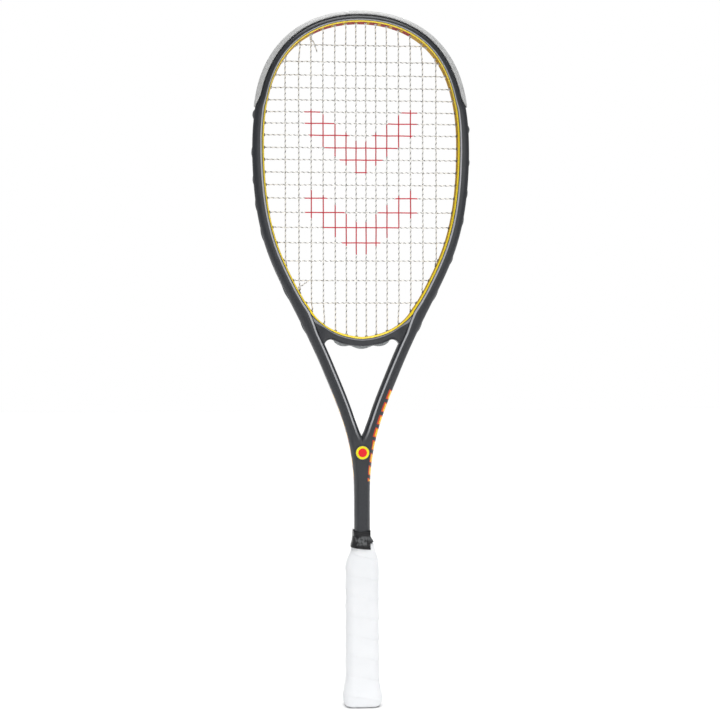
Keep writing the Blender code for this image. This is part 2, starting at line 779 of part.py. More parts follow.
FINISHING_TAPE = (
    (154.6, 24.6, 24.8, 10), (158, 23.8, 24.2, 10), (162, 20.6, 22.4, 8), (167, 17.9, 21.0, 5.5),
    (172.4, 17.4, 20.8, 5),
)
FINISHING_TAPE_INNER = (
    (154.6, 24.1, 23.9, 10), (158, 23.1, 23.3, 9.5), (162, 16.6, 20.0, 5), (172.4, 16.4, 19.8, 5),
)
LABEL_RADIUS = 9 * MM
LABEL_THICKNESS = 0.6 * MM
TACK_Z = 12.5 * MM
TACK = ((17.0, 0.0), (16.9, 1.4), (16.3, 1.5), (16.2, 0.7), (9.3, 0.6), (8.4, 0.0))
TACK_ROOM = ((19.0, 0.0), (18.9, 1.4), *TACK[2:])
TACK_TIP_RADIUS = 0.3 * MM
ROUND_STEPS = 24
BADGE_Z = 251 * MM
BADGE_RADIUS = 6.7 * MM


def rings_of(profile):
    return [rounded_box_ring(w * MM, d * MM, c * MM, z * MM) for z, w, d, c in profile]


def sleeve(name, outside, inside, finish):
    """A piece open at both ends, skinned up its outside and back down its inside."""
    rings = rings_of(outside) + rings_of(inside[::-1])
    rings.append(rings[0])
    points, faces = loft(rings, cap_start=False, cap_end=False)
    return add_object(name, points, faces, finish)


def turned_x(name, profile, side, extra=0.0, steps=8):
    """A piece turned about a level axis through the tacks, from (x, radius) points that end on the axis."""
    rings = []
    for i, (x, r) in enumerate(profile):
        end = 1 if i == 0 else -1 if i == len(profile) - 1 else 0
        radius = r * MM + (extra if r else 0)
        if end:
            radius = TACK_TIP_RADIUS
        ring = []
        for k in range(steps):
            angle = 2 * math.pi * k / steps
            across, up = radius * math.cos(angle), radius * math.sin(angle)
            ring.append(np.array([side * (x * MM + end * extra), across, TACK_Z + up]))
        rings.append(ring)
    return add_object(name, *loft(rings))


def disc(name, rings_at, axis, finish=None):
    """A round plate from (place along the axis, radius) pairs; axis 1 is Y and 2 is Z."""
    rings = []
    for place, radius in rings_at:
        ring = []
        for k in range(ROUND_STEPS):
            angle = 2 * math.pi * k / ROUND_STEPS
            a, b = radius * math.cos(angle), radius * math.sin(angle)
            ring.append(np.array([a, place, BADGE_Z + b] if axis == 1 else [a, b, place]))
        rings.append(ring)
    return add_object(name, *loft(rings), finish)


def make_handle():
    foam = sleeve("handle_foam", FOAM, FOAM_CAVITY, material("foam", (0.75, 0.72, 0.62), 0.8))
    cap_skin = loft(rings_of(BUTT_CAP) + rings_of(BUTT_CAP_INNER[::-1]))
    cap = add_object("butt_cap", *cap_skin, material("butt_plastic", (0.05, 0.05, 0.05), 0.5))
    sleeve("base_grip", BASE_GRIP, BASE_GRIP_INNER, material("cushion_grip", (0.08, 0.08, 0.09), 0.9))
    sleeve("overgrip", OVERGRIP, OVERGRIP_INNER, material("overgrip_white", (0.9, 0.91, 0.92), 0.7))
    tape = material("black_tape", (0.02, 0.02, 0.02), 0.5)
    sleeve("finishing_tape", FINISHING_TAPE, FINISHING_TAPE_INNER, tape)

    label = ((0, LABEL_RADIUS), (LABEL_THICKNESS, LABEL_RADIUS))
    disc("butt_label", label, 2, material("butt_label", (0.9, 0.75, 0.05), 0.5))
    recess = ((-GAP, LABEL_RADIUS + GAP), (LABEL_THICKNESS + GAP, LABEL_RADIUS + GAP))
    add_boolean(cap, "DIFFERENCE", disc("label_recess", recess, 2))

    steel = material("tack_steel", (0.6, 0.6, 0.6), 0.35, 1.0)
    for name, side in (("butt_cap_tack_right", 1), ("butt_cap_tack_left", -1)):
        tack = turned_x(name, TACK, side)
        tack.data.materials.append(steel)
        hole = turned_x(name + "_hole", TACK_ROOM, side, GAP)
        add_boolean(cap, "DIFFERENCE", hole)
        add_boolean(foam, "DIFFERENCE", hole)


def make_badge():
    front = -keyed(HALF_DEPTH, BADGE_Z) - GAP
    plate = ((front, 0.97), (front - 0.4 * MM, 1.0), (front - 0.75 * MM, 0.86), (front - 0.95 * MM, 0.4))
    rings = [(place, share * BADGE_RADIUS) for place, share in plate]
    disc("throat_badge", rings, 1, material("badge_yellow", (0.95, 0.8, 0.02), 0.3))


def make_frame(paint):
    frame = add_object("frame", *frame_mesh(), paint)
    add_mirror(frame)
    drilled = [(key, side) for key in HOLES for side in (1, -1) if HOLES[key]["kind"] == "outline"]
    holes = drill("string_holes", drilled, frame_hole_radius, lambda h: -HOLE_LEAD, lambda h: h["reach"])
    add_boolean(frame, "DIFFERENCE", holes)
    return holes


def make_bridge(paint, holes):
    bridge = add_object("throat_bridge", *loft(bridge_rings(), cap_start=False), paint)
    add_mirror(bridge)
    room = add_object("frame_room", *frame_mesh(GAP))
    add_mirror(room)
    add_boolean(bridge, "DIFFERENCE", room)
    drilled = [(("main", i, "foot"), side) for i in range(BRIDGE_MAINS) for side in (1, -1)]
    own = drill("bridge_holes", drilled, frame_hole_radius, lambda h: -HOLE_LEAD, lambda h: h["reach"])
    add_boolean(bridge, "DIFFERENCE", own)
    add_boolean(bridge, "DIFFERENCE", holes)


def main():
    clear_scene()
    paint = material("graphite_paint", (0.045, 0.05, 0.055), 0.25)
    nylon = material("clear_nylon", (0.62, 0.64, 0.66), 0.35)
    holes = make_frame(paint)
    make_bridge(paint, holes)
    make_bumper(nylon)
    make_side_strip("grommet_strip_right", 1, nylon)
    make_side_strip("grommet_strip_left", -1, nylon)
    make_throat_strip(nylon)
    string = material("string", (0.83, 0.8, 0.72), 0.4)
    add_object("string", *tube_mesh(string_route(), STRING_RADIUS, STRING_SIDES), string)
    make_handle()
    make_badge()


main()
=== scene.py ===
"""Looks of the strung squash racket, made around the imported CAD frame.

Metres, +Z from the butt to the top of the head, the string plane at Y = 0, the near face towards -Y.
"""

import math

import bmesh
import bpy
import numpy as np
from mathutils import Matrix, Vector


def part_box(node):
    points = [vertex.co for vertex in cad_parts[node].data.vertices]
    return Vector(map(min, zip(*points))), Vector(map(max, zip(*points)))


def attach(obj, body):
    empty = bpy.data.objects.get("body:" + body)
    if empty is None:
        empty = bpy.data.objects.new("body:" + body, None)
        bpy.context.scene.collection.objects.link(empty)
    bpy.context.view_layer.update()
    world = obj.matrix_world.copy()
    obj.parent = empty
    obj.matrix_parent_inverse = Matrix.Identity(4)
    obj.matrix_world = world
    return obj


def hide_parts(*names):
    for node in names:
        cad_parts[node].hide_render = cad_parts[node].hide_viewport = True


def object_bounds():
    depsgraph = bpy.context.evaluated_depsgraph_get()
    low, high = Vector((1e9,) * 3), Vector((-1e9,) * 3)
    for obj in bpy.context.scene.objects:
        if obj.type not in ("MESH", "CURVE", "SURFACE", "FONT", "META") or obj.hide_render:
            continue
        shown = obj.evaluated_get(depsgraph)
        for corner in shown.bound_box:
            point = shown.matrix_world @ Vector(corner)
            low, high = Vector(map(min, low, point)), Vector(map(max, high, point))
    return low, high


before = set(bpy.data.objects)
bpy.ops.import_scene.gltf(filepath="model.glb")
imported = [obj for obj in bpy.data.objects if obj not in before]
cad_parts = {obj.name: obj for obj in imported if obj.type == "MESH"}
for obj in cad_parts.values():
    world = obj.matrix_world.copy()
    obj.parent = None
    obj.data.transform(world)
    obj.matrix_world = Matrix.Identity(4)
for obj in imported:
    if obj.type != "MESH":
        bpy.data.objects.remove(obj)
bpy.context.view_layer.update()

MM = 0.001
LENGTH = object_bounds()[1].z
SHAFT_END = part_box("frame")[0].z

# Outlines as in the CAD: x, z, heading in degrees from straight down, curve handles before and after.
# The lengths are in millimetres.
OUTLINE = (
    (0, LENGTH / MM, 90, 0, 35),
    (107.5, 558.4, 0, 113.8, 120.3),
    (38.3, 331.2, -22.6, 104.5, 48.5),
    (7.55, 207.5, 0, 51.3, 0),
    (7.55, SHAFT_END / MM, 0, 0, 0),
)
BRIDGE_UPPER = ((54.3, 396.6, -34.7, 0, 3), (48.0, 387.6, -34.7, 3, 27.3), (0, 364.2, -90, 1, 0))
BRIDGE_LOWER = ((36.5, 353, 160.4, 0, 4.5), (30.4, 361.6, -90, 5, 4), (0, 355, -90, 20, 0))

# Sizes that change along the frame: height of the outer outline in millimetres, value in millimetres.
TUBE_WIDTH = (
    (262, 13.8), (268, 12.5), (280, 11.6), (364, 11.7), (374, 13.6), (383, 14.6), (394, 12.9),
    (405, 12.2), (450, 11.7), (548, 11.6), (600, 12.0), (686, 11.5),
)
HALF_DEPTH = ((0, 9.0), (230, 9.2), (300, 9.7), (400, 10.0), (600, 10.0), (686, 9.6))
BUMPER_SEAT = ((0, 0), (545, 0), (570, 0.6), (591, 1.0), (596, 3.0), (602, 4.4), (686, 4.4))
STRIP_SEAT = ((545, 0), (570, 0.6), (590, 1.0))
CHANNEL_DEPTH = ((0, 0), (348, 0), (359, 3.0), (590, 3.0), (600, 2.2), (686, 2.2))

# Heights where the frame changes, from the head down to the shaft.
MID_HEAD_Z = 500 * MM
BRIDGE_JOIN_Z = 388.5 * MM
HEAD_END_Z = 384 * MM
LAST_HOLE_Z = 362 * MM
THROAT_Z = 360 * MM
LAY_END_Z = 359 * MM
CROTCH_TOP_Z = 275 * MM
CROTCH_FOOT_Z = 215 * MM
# The section turns from an oval to a box with rounded corners over this reach below this height.
BOX_TOP_Z = 267 * MM
BOX_REACH = 11 * MM
BOX_CORNER = 4.5 * MM
BOX_CUT = 0.54
BOX_POWER = 2.2
BRIDGE_HALF_DEPTH = 9.6 * MM
BRIDGE_CHANNEL = 2.6 * MM

# Half of the tube's section, outer rim to inner face: share of the width, share of the half depth.
SECTION = (
    (0.0, 0.46), (0.03, 0.60), (0.10, 0.74), (0.25, 0.87), (0.42, 0.95), (0.54, 0.985), (0.63, 0.998),
    (0.69, 0.99), (0.76, 0.965), (0.83, 0.925), (0.88, 0.88), (0.93, 0.80), (0.97, 0.71), (1.0, 0.57),
    (1.0, 0.28), (1.0, 0.0),
)
# The outer groove: share of the channel's depth, distance from the string plane in millimetres.
CHANNEL = ((1.0, 0.0), (1.0, 2.0), (1.0, 3.6), (0.85, 3.88), (0.12, 4.0))

FIRST_MAIN = 4.9 * MM
MAIN_STEPS = (9.9, 10.9, 11.8, 11.8, 12.2, 13.3)
TOP_CROSS = 652.2 * MM
CROSS_STEPS = (
    16.4, 13.3, 12.5, 12.1, 11.7, 11.2, 11.7, 12.3, 11.9, 12.4, 12.5, 13.0, 14.1, 14.8, 15.1, 17.9,
    19.3, 22.2,
)
HOLE_SPACING = 5.6 * MM
# A main's hole comes before a cross's at the top of the head, where the two are less than this apart.
TOP_MAIN_FIRST = 4 * MM
HOLE_LEAN = 0.12
HOLE_LEAD = 4 * MM
HOLE_SIDES = 16
# In the groove a run that passes other holes moves into a side lane, this far from its hole.
LANE = 2.1 * MM
LANE_START = 3.2 * MM
TURN_START = 0.5 * MM
SHARED_OFFSET = 0.77 * MM
STRING_RADIUS = 0.6 * MM
WEAVE = 0.66 * MM
KNOT_TURNS = 2.25
BARREL_RADIUS = 1.5 * MM
BORE_RADIUS = 1.05 * MM
SHARED_BARREL_RADIUS = 2.5 * MM
SHARED_BORE_RADIUS = 1.95 * MM
BARREL_PROUD = 1.0 * MM
BARREL_PLAY = 0.15 * MM
# How far short of the string's lay the barrels start.
GUARD_BARREL_BASE = 2.6 * MM
STRIP_BARREL_BASE = 1.3 * MM
THROAT_BARREL_BASE = 1.2 * MM
BUMPER_END_Z = 591.5 * MM
STRIP_TOP_Z = 589.5 * MM
STRIP_END_Z = 362.5 * MM
STRIP_LAY = 0.8 * MM
BUMPER_LAY = 1.25 * MM
THROAT_STRIP_HALF = 28.4 * MM
BRIDGE_MAINS = 3
GUARD_CROSSES = 5


# ---- paths in the X-Z plane ----


def heading(degrees):
    angle = math.radians(degrees)
    return np.array([math.sin(angle), -math.cos(angle)])


def step_lengths(points):
    return np.linalg.norm(np.diff(points, axis=0), axis=1)


class Path:
    """A curve through points, read by the distance along it."""

    def __init__(self, points):
        self.points = np.array(points, float)
        self.run = np.concatenate([[0], np.cumsum(step_lengths(self.points))])
        self.length = self.run[-1]

    def at(self, s):
        return np.stack([np.interp(s, self.run, values) for values in self.points.T], axis=-1)

    def inward(self, s, reach=0.5 * MM):
        along = self.at(np.add(s, reach)) - self.at(np.subtract(s, reach))
        along /= np.linalg.norm(along, axis=-1)[..., None]
        return np.stack([along[..., 1], -along[..., 0]], axis=-1)

    def s_at_height(self, z):
        return float(np.interp(-z, -self.points[:, 1], self.run))

    def crossing(self, origin, direction):
        """Distance along the path where the ray meets it first, and the distance along the ray."""
        best = None
        for i, edge in enumerate(np.diff(self.points, axis=0)):
            det = edge[0] * -direction[1] + direction[0] * edge[1]
            if abs(det) < 1e-15:
                continue
            gap = origin - self.points[i]
            share = (gap[0] * -direction[1] + direction[0] * gap[1]) / det
            reach = (edge[0] * gap[1] - edge[1] * gap[0]) / det
            if -1e-9 <= share <= 1 + 1e-9 and reach >= 0 and (best is None or reach < best[1]):
                best = (self.run[i] + share * (self.run[i + 1] - self.run[i]), reach)
        return best


def bezier_chain(knots, steps=60):
    points = []
    for a, b in zip(knots, knots[1:]):
        start, end = np.array(a[:2]), np.array(b[:2])
        out, back = start + heading(a[2]) * a[4], end - heading(b[2]) * b[3]
        for t in np.linspace(0, 1, steps, endpoint=False):
            u = 1 - t
            points.append(u**3 * start + 3 * u * u * t * out + 3 * u * t * t * back + t**3 * end)
    return np.array([*points, knots[-1][:2]]) * MM


def keyed(keys, z):
    return np.interp(np.asarray(z) / MM, *zip(*keys)) * MM


def smooth_through(keys, per):
    """Points on a rounded curve through the keys, so many for each."""
    keys = np.array(keys, float)
    padded = np.vstack([2 * keys[0] - keys[1], keys, 2 * keys[-1] - keys[-2]])
    points = []
    for a, b, c, d in zip(padded, padded[1:], padded[2:], padded[3:]):
        slope, bend, twist = 0.5 * (c - a), a - 2.5 * b + 2 * c - 0.5 * d, 1.5 * (b - c) + 0.5 * (d - a)
        for t in np.arange(per) / per:
            points.append(b + slope * t + bend * t**2 + twist * t**3)
    return np.array([*points, keys[-1]])


OUTER = Path(bezier_chain(OUTLINE, 120))
UPPER = Path(bezier_chain(BRIDGE_UPPER)[::-1])
LOWER = Path(bezier_chain(BRIDGE_LOWER)[::-1])
# Share of the width and of the half depth round the front half of the tube.
SECTION_CURVE = smooth_through(SECTION, 3)


def stops_to(z, count):
    return np.linspace(0, OUTER.s_at_height(z), count)


def inset(stops, depths):
    return OUTER.at(stops) + OUTER.inward(stops) * depths[:, None]


def seat_depth(s):
    return keyed(BUMPER_SEAT, OUTER.at(s)[..., 1])


def tube_width(s):
    return keyed(TUBE_WIDTH, OUTER.at(s)[..., 1])


# ---- meshes ----


def lift(p, y, side=1):
    """A point of the X-Z plane moved off it. The side is 1 on the right, -1 on the left and 0 on X = 0."""
    return np.array([side * p[0], y, p[1]])


def add_object(name, data):
    made = bpy.data.objects.new(name, data)
    bpy.context.collection.objects.link(made)
    return made


def add_piece(name, points, faces, stands_for, slot, *finishes, smooth=35, paint=(), kinds=()):
    """Adds a mesh. Paint holds two numbers for each point, and kinds the material of each face."""
    mesh = bpy.data.meshes.new(name)
    mesh.from_pydata([tuple(p) for p in points], [], [tuple(int(i) for i in f) for f in faces])
    for finish in finishes:
        mesh.materials.append(finish)
    for face, kind in zip(mesh.polygons, kinds):
        face.material_index = kind
    made = add_object(name, mesh)
    if paint:
        paint_map(made, paint)
    tidy(made, smooth)
    if slot:
        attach(made, "root")
    if stands_for:
        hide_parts(*stands_for)
    return made


def tidy(obj, smooth):
    mesh = obj.data
    bm = bmesh.new()
    bm.from_mesh(mesh)
    bmesh.ops.remove_doubles(bm, verts=bm.verts, dist=1e-6)
    bmesh.ops.dissolve_degenerate(bm, edges=bm.edges, dist=1e-7)
    bmesh.ops.recalc_face_normals(bm, faces=bm.faces)
    bm.to_mesh(mesh)
    bm.free()
    shade(mesh, smooth)


def shade(mesh, smooth):
    """Smooth shading, with edges sharper than that many degrees kept sharp."""
    mesh.shade_smooth()
    mesh.set_sharp_from_angle(angle=math.radians(smooth))


def grid_faces(rows, columns, closed=False):
    faces = []
    for i in range(rows - 1):
        for j in range(columns if closed else columns - 1):
            k = (j + 1) % columns
            faces.append((i * columns + j, i * columns + k, (i + 1) * columns + k, (i + 1) * columns + j))
    return faces


def loft(rings, cap=True):
    """Points and faces of a closed skin over rings of one size."""
    n = len(rings[0])
    points = [p for ring in rings for p in ring]
    faces = grid_faces(len(rings), n, closed=True)
    if cap:
        faces.append(tuple(range(n)))
        faces.append(tuple(range((len(rings) - 1) * n, len(rings) * n)))
    return points, faces


def cut(obj, operation, other, smooth=35):
    """Applies a Boolean with the other object, which is then removed."""
    change = obj.modifiers.new("cut", "BOOLEAN")
    change.operation = operation
    change.solver = "EXACT"
    change.object = other
    bpy.context.view_layer.update()
    graph = bpy.context.evaluated_depsgraph_get()
    mesh = bpy.data.meshes.new_from_object(obj.evaluated_get(graph))
    old, obj.data = obj.data, mesh
    obj.modifiers.clear()
    mesh.name = obj.name
    bpy.data.meshes.remove(old)
    bpy.data.objects.remove(other)
    shade(mesh, smooth)


def thicken(obj, thickness):
    wall = obj.modifiers.new("thickness", "SOLIDIFY")
    wall.thickness = thickness
    wall.offset = -1


def paint_map(obj, values):
    """A UV map that carries two numbers for each vertex to its material."""
    layer = obj.data.uv_layers.new(name="paint")
    for loop in obj.data.loops:
        layer.data[loop.index].uv = values[loop.vertex_index]


# ---- string holes ----


def head_inner_path():
    stops = stops_to(HEAD_END_Z, 150)
    tube = inset(stops, tube_width(stops))
    return Path(np.vstack([tube[tube[:, 1] > BRIDGE_JOIN_Z], bezier_chain(BRIDGE_UPPER[1:])]))


def lay_path():
    stops = stops_to(LAY_END_Z, 160)
    z = OUTER.at(stops)[:, 1]
    ends = [STRIP_TOP_Z, BUMPER_END_Z + 6 * MM]
    low = STRIP_LAY + keyed(STRIP_SEAT, z)
    share = np.clip((z - ends[0]) / (ends[1] - ends[0]), 0, 1)
    return Path(inset(stops, low + (BUMPER_LAY - low) * share))


INNER = head_inner_path()
LAY = lay_path()
BRIDGE_LAY = Path([p + (0, STRIP_LAY) for p in LOWER.points if p[0] < 31 * MM])
MAINS = [FIRST_MAIN + sum(MAIN_STEPS[:i]) * MM for i in range(len(MAIN_STEPS) + 1)]
CROSSES = [TOP_CROSS - sum(CROSS_STEPS[:i]) * MM for i in range(len(CROSS_STEPS) + 1)]


def spread(places):
    places = list(places)
    for _ in range(200):
        for i in range(len(places) - 1):
            short = HOLE_SPACING - (places[i + 1] - places[i])
            if short > 0:
                places[i] -= short / 2
                places[i + 1] += short / 2
    return places


def hole_table():
    """Every string hole of the right half: its mouth, axis, length and place in the outer groove."""
    up, down, right = np.array([0, 1.0]), np.array([0, -1.0]), np.array([1.0, 0])
    found = []
    ends = (("top", up), ("foot", down))
    rays = [(("main", i, end), (x, MID_HEAD_Z), pull) for i, x in enumerate(MAINS) for end, pull in ends]
    rays += [(("cross", j, "side"), (0, z), right) for j, z in enumerate(CROSSES)]
    for name, start, pull in rays:
        s, _ = INNER.crossing(np.array(start), pull)
        found.append((s - TOP_MAIN_FIRST if pull is up else s, s, name, pull))
    found.sort(key=lambda row: row[0])
    stops = stops_to(LAST_HOLE_Z, 300)
    tube_inner = inset(stops, tube_width(stops))
    table = {}
    for place, (_, _, name, pull) in zip(spread([row[1] for row in found]), found):
        mouth = INNER.at(place)
        if name[2] == "foot" and name[1] < BRIDGE_MAINS:
            axis, path, kind = down, BRIDGE_LAY, "bridge"
        else:
            nearest = stops[np.argmin(np.linalg.norm(tube_inner - mouth, axis=1))]
            axis = HOLE_LEAN * pull - OUTER.inward(nearest)
            axis /= np.linalg.norm(axis)
            path, kind = LAY, "outline"
        s, reach = path.crossing(mouth, axis)
        table[name] = {"mouth": mouth, "axis": axis, "s": s, "reach": reach, "kind": kind}
    return table


HOLES = hole_table()
TIE_TOP = ("main", 4, "top")
TIE_FOOT = ("main", 5, "foot")
BRIDGE_HOLES = [(("main", i, "foot"), side) for i in range(BRIDGE_MAINS) for side in (1, -1)]


def is_shared(key, side):
    return side < 0 and key in (TIE_TOP, TIE_FOOT)


def prism_rings(hole, side, profile):
    """Rings round a hole's axis, from (distance from the mouth, radius) pairs."""
    along, mouth = lift(hole["axis"], 0, side), lift(hole["mouth"], 0, side)
    across = np.array([0, 1.0, 0])
    third = np.cross(along, across)
    turn = 2 * math.pi * (np.arange(HOLE_SIDES) + 0.5) / HOLE_SIDES
    return [
        [mouth + along * reach + radius * (math.cos(a) * across + math.sin(a) * third) for a in turn]
        for reach, radius in profile
    ]


def helper(name, solids):
    """A loose object of several closed skins, for a Boolean."""
    points, faces = [], []
    for more, skin in solids:
        faces += [tuple(len(points) + i for i in face) for face in skin]
        points += more
    return add_piece(name, points, faces, (), None)


def barrels(chosen, base_depth):
    solids = []
    for key, side in chosen:
        hole = HOLES[key]
        r = SHARED_BARREL_RADIUS if is_shared(key, side) else BARREL_RADIUS
        rim = [(-BARREL_PROUD, r - 0.25 * MM), (-BARREL_PROUD + 0.2 * MM, r)]
        solids.append(loft(prism_rings(hole, side, [*rim, (hole["reach"] - base_depth, r)])))
    return helper("barrels", solids)


def bores(chosen, wide=0.0, start=-3 * BARREL_PROUD):
    solids = []
    for key, side in chosen:
        r = (SHARED_BORE_RADIUS if is_shared(key, side) else BORE_RADIUS) + wide
        solids.append(loft(prism_rings(HOLES[key], side, [(start, r), (HOLES[key]["reach"], r)])))
    return helper("bores", solids)


def drill(body, chosen):
    """Makes the holes that the barrels pass through."""
    cut(body, "DIFFERENCE", bores(chosen, BARREL_RADIUS - BORE_RADIUS + BARREL_PLAY, -HOLE_LEAD), 40)


def add_barrels(strip, chosen, base_depth):
    """Adds the barrels to a guard or strip, then bores them for the string."""
    cut(strip, "UNION", barrels(chosen, base_depth))
    cut(strip, "DIFFERENCE", bores(chosen))


# ---- frame and bridge ----


def frame_stations():
    """Places along the head, the arms, the crotch and the shaft."""
    stops = [OUTER.s_at_height(z) for z in (THROAT_Z, CROTCH_TOP_Z, CROTCH_FOOT_Z)]
    spans = zip([0, *stops], [*stops, OUTER.length], (190, 30, 46, 24))
    return np.concatenate([[0], *(np.linspace(a, b, count)[1:] for a, b, count in spans)])


def whole_ring(front):
    """The front half of a ring, and its mirror image behind the string plane."""
    return front + [p * (1, -1, 1) for p in front[-2:0:-1]]


def paint_row(run):
    line = [0.0] * len(CHANNEL) + [share for share, _ in SECTION_CURVE]
    return [(share, run) for share in line + line[-2:0:-1]]


def half_frame():
    """Rings of the right half, and the paint's two numbers for each of their points."""
    rings, values = [], []
    for s in frame_stations():
        here, normal = OUTER.at(s), OUTER.inward(s)
        z = here[1]
        width, half = tube_width(s), keyed(HALF_DEPTH, z)
        seat, channel = seat_depth(s), keyed(CHANNEL_DEPTH, z)
        flat = np.clip((BOX_TOP_Z - z) / BOX_REACH, 0, 1)
        open_share = 0.6 + 0.4 * min(channel / (2 * MM), 1)
        front = [(seat + share * channel, y * MM * open_share) for share, y in CHANNEL]
        for share, depth in SECTION_CURVE:
            u = seat + share * (width - seat)
            boxy = 1 - BOX_CUT * max(1 - u / BOX_CORNER, 0) ** BOX_POWER
            front.append((u, (depth + (boxy - depth) * flat) * half))
        ring = [(here + normal * u, y) for u, y in front]
        rings.append(whole_ring([lift((max(p[0], 0.0), p[1]), -y, s > 0) for p, y in ring]))
        values.append(paint_row(s))
    return rings, values


def mirrored_loft(rings):
    """Both halves of a skin whose inner edge lies on X = 0."""
    n = len(rings[0])
    points = [p for ring in rings for p in ring]
    faces = grid_faces(len(rings), n, closed=True)
    faces.append(tuple(range((len(rings) - 1) * n, len(rings) * n)))
    on_plane = [abs(p[0]) < 1e-9 for p in points]
    faces = [f for f in faces if not all(on_plane[i] for i in f)]
    count = len(points)
    points += [p * (-1, 1, 1) for p in points]
    faces += [tuple(i + count for i in face[::-1]) for face in faces]
    return points, faces


def add_painted(name, rings, values, node, finish):
    """A painted skin, right and left. The run along it is negative on the left."""
    flat = [v for row in values for v in row]
    flat += [(share, -run) for share, run in flat]
    return add_piece(name, *mirrored_loft(rings), (node,), "graphite_paint", finish, smooth=40, paint=flat)


def make_frame(finish):
    body = add_painted("frame_tube", *half_frame(), "frame", finish)
    drill(body, [(key, side) for key in HOLES for side in (1, -1) if HOLES[key]["kind"] == "outline"])


def make_bridge(finish):
    rings, values = [], []
    for t in np.linspace(0, 1, 64):
        low, high = LOWER.at(t * LOWER.length), UPPER.at(t * UPPER.length)
        fade = np.clip((THROAT_STRIP_HALF + 1 * MM - low[0]) / (0.8 * MM), 0, 1)
        front = [(low + (0, share * (BRIDGE_CHANNEL * fade)), y * MM) for share, y in CHANNEL]
        front += [(low + (high - low) * share, depth * BRIDGE_HALF_DEPTH) for share, depth in SECTION_CURVE]
        rings.append(whole_ring([lift(p, -y, t > 0) for p, y in front]))
        values.append(paint_row(BOW_RUN))
    body = add_painted("throat_bow", rings, values, "throat_bridge", finish)
    drill(body, BRIDGE_HOLES)


# ---- guard and strips ----

# Half sections: depth below the outer outline, distance from the string plane, in millimetres.
BUMPER_SECTION = (
    (2.2, 0.0), (2.2, 2.7), (1.9, 2.95), (0.55, 3.2), (0.1, 3.6), (0.0, 4.3), (0.15, 5.0), (0.6, 5.8),
    (1.2, 6.45), (1.5, 6.6), (1.9, 7.0), (2.8, 7.6), (3.6, 7.9), (4.0, 7.7), (4.1, 6.4), (4.15, 4.1),
    (5.1, 3.6), (5.15, 0.0),
)
STRIP_SECTION = (
    (1.7, 0.0), (1.7, 2.55), (1.5, 2.75), (0.5, 2.85), (0.2, 3.0), (0.15, 3.3), (0.4, 3.55), (2.5, 3.6),
    (2.7, 3.4), (2.7, 0.0),
)
STRIP_CREST = (3, 4, 5, 6)
# Where the strips stand proud over the string's loops: height and half length, in millimetres.
HUMPS_LEFT = ((583.5, 5), (546, 6), (519, 5.5), (494, 7), (465, 8.5), (408, 9), (373.5, 7))
HUMPS_RIGHT = ((570, 5), (537, 5), (506, 6), (478.5, 6.5), (440, 6), (405, 8), (373.5, 7))
HUMP_HEIGHT = 0.95 * MM
# The throat strip's lobes under the bridge: distance from the middle, half length, drop, in millimetres.
LOBES = ((0, 10.5, 2.3), (20.5, 9, 2.2))
THROAT_BASE = 2.3
# The guard is thickest at the shoulders of the head, and its wings sink with its seat, in millimetres.
SHOULDER_Z = 632
SHOULDER_REACH = 52
SHOULDER_SWELL = 1.2
SHOULDER_FADE = 2.2
WING_DEPTH = 4.2
WING_START = 3.1
SEAT_START = 0.3
SEAT_REACH = 4.1


def bump(x):
    return (1 - np.clip(np.abs(x), 0, 1) ** 2) ** 1.5


def closed_section(half):
    front = [(u, -y) for u, y in half]
    return front + [(u, y) for u, y in half[::-1] if y > 0]


def make_bumper(finish):
    rings = []
    for s in stops_to(BUMPER_END_Z, 110):
        here, normal = OUTER.at(s), OUTER.inward(s)
        squeeze = min((seat_depth(s) / MM - SEAT_START) / SEAT_REACH, 1)
        swell = SHOULDER_SWELL * max(0.0, 1 - ((here[1] / MM - SHOULDER_Z) / SHOULDER_REACH) ** 2)
        ring = []
        for u, y in closed_section(BUMPER_SECTION):
            on_wing = u < WING_DEPTH and abs(y) > WING_START
            depth = u * (squeeze if on_wing else 0.75 + 0.25 * squeeze)
            depth -= swell * max(0.0, 1 - u / SHOULDER_FADE)
            ring.append(lift(here + normal * depth * MM, y * MM, s > 0))
        rings.append(ring)
    guard = add_piece("bumper_guard_shell", *mirrored_loft(rings), ("bumper_guard",), "clear_nylon", finish)
    keys = [("main", i, "top") for i in range(len(MAINS))]
    keys += [("cross", j, "side") for j in range(GUARD_CROSSES)]
    add_barrels(guard, [(key, side) for key in keys for side in (1, -1)], GUARD_BARREL_BASE)


def make_side_strip(name, node, side, humps, finish):
    stations = np.linspace(OUTER.s_at_height(STRIP_TOP_Z), OUTER.s_at_height(STRIP_END_Z), 190)
    low = keyed(STRIP_SEAT, OUTER.at(stations)[:, 1])
    rings = []
    for s, seat in zip(stations, low):
        here, normal = OUTER.at(s), OUTER.inward(s)
        rise = max(float(bump((here[1] / MM - z) / reach)) for z, reach in humps) * HUMP_HEIGHT
        half = [
            (u * MM + seat - (rise + seat * rise / HUMP_HEIGHT if k in STRIP_CREST else 0), y * MM)
            for k, (u, y) in enumerate(STRIP_SECTION)
        ]
        rings.append([lift(here + normal * u, y, side) for u, y in closed_section(half)])
    strip = add_piece(name, *loft(rings), (node,), "clear_nylon", finish)
    keys = [("cross", j, "side") for j in range(GUARD_CROSSES, len(CROSSES))]
    keys += [("main", i, "foot") for i in range(BRIDGE_MAINS, len(MAINS))]
    add_barrels(strip, [(key, side) for key in keys], STRIP_BARREL_BASE)


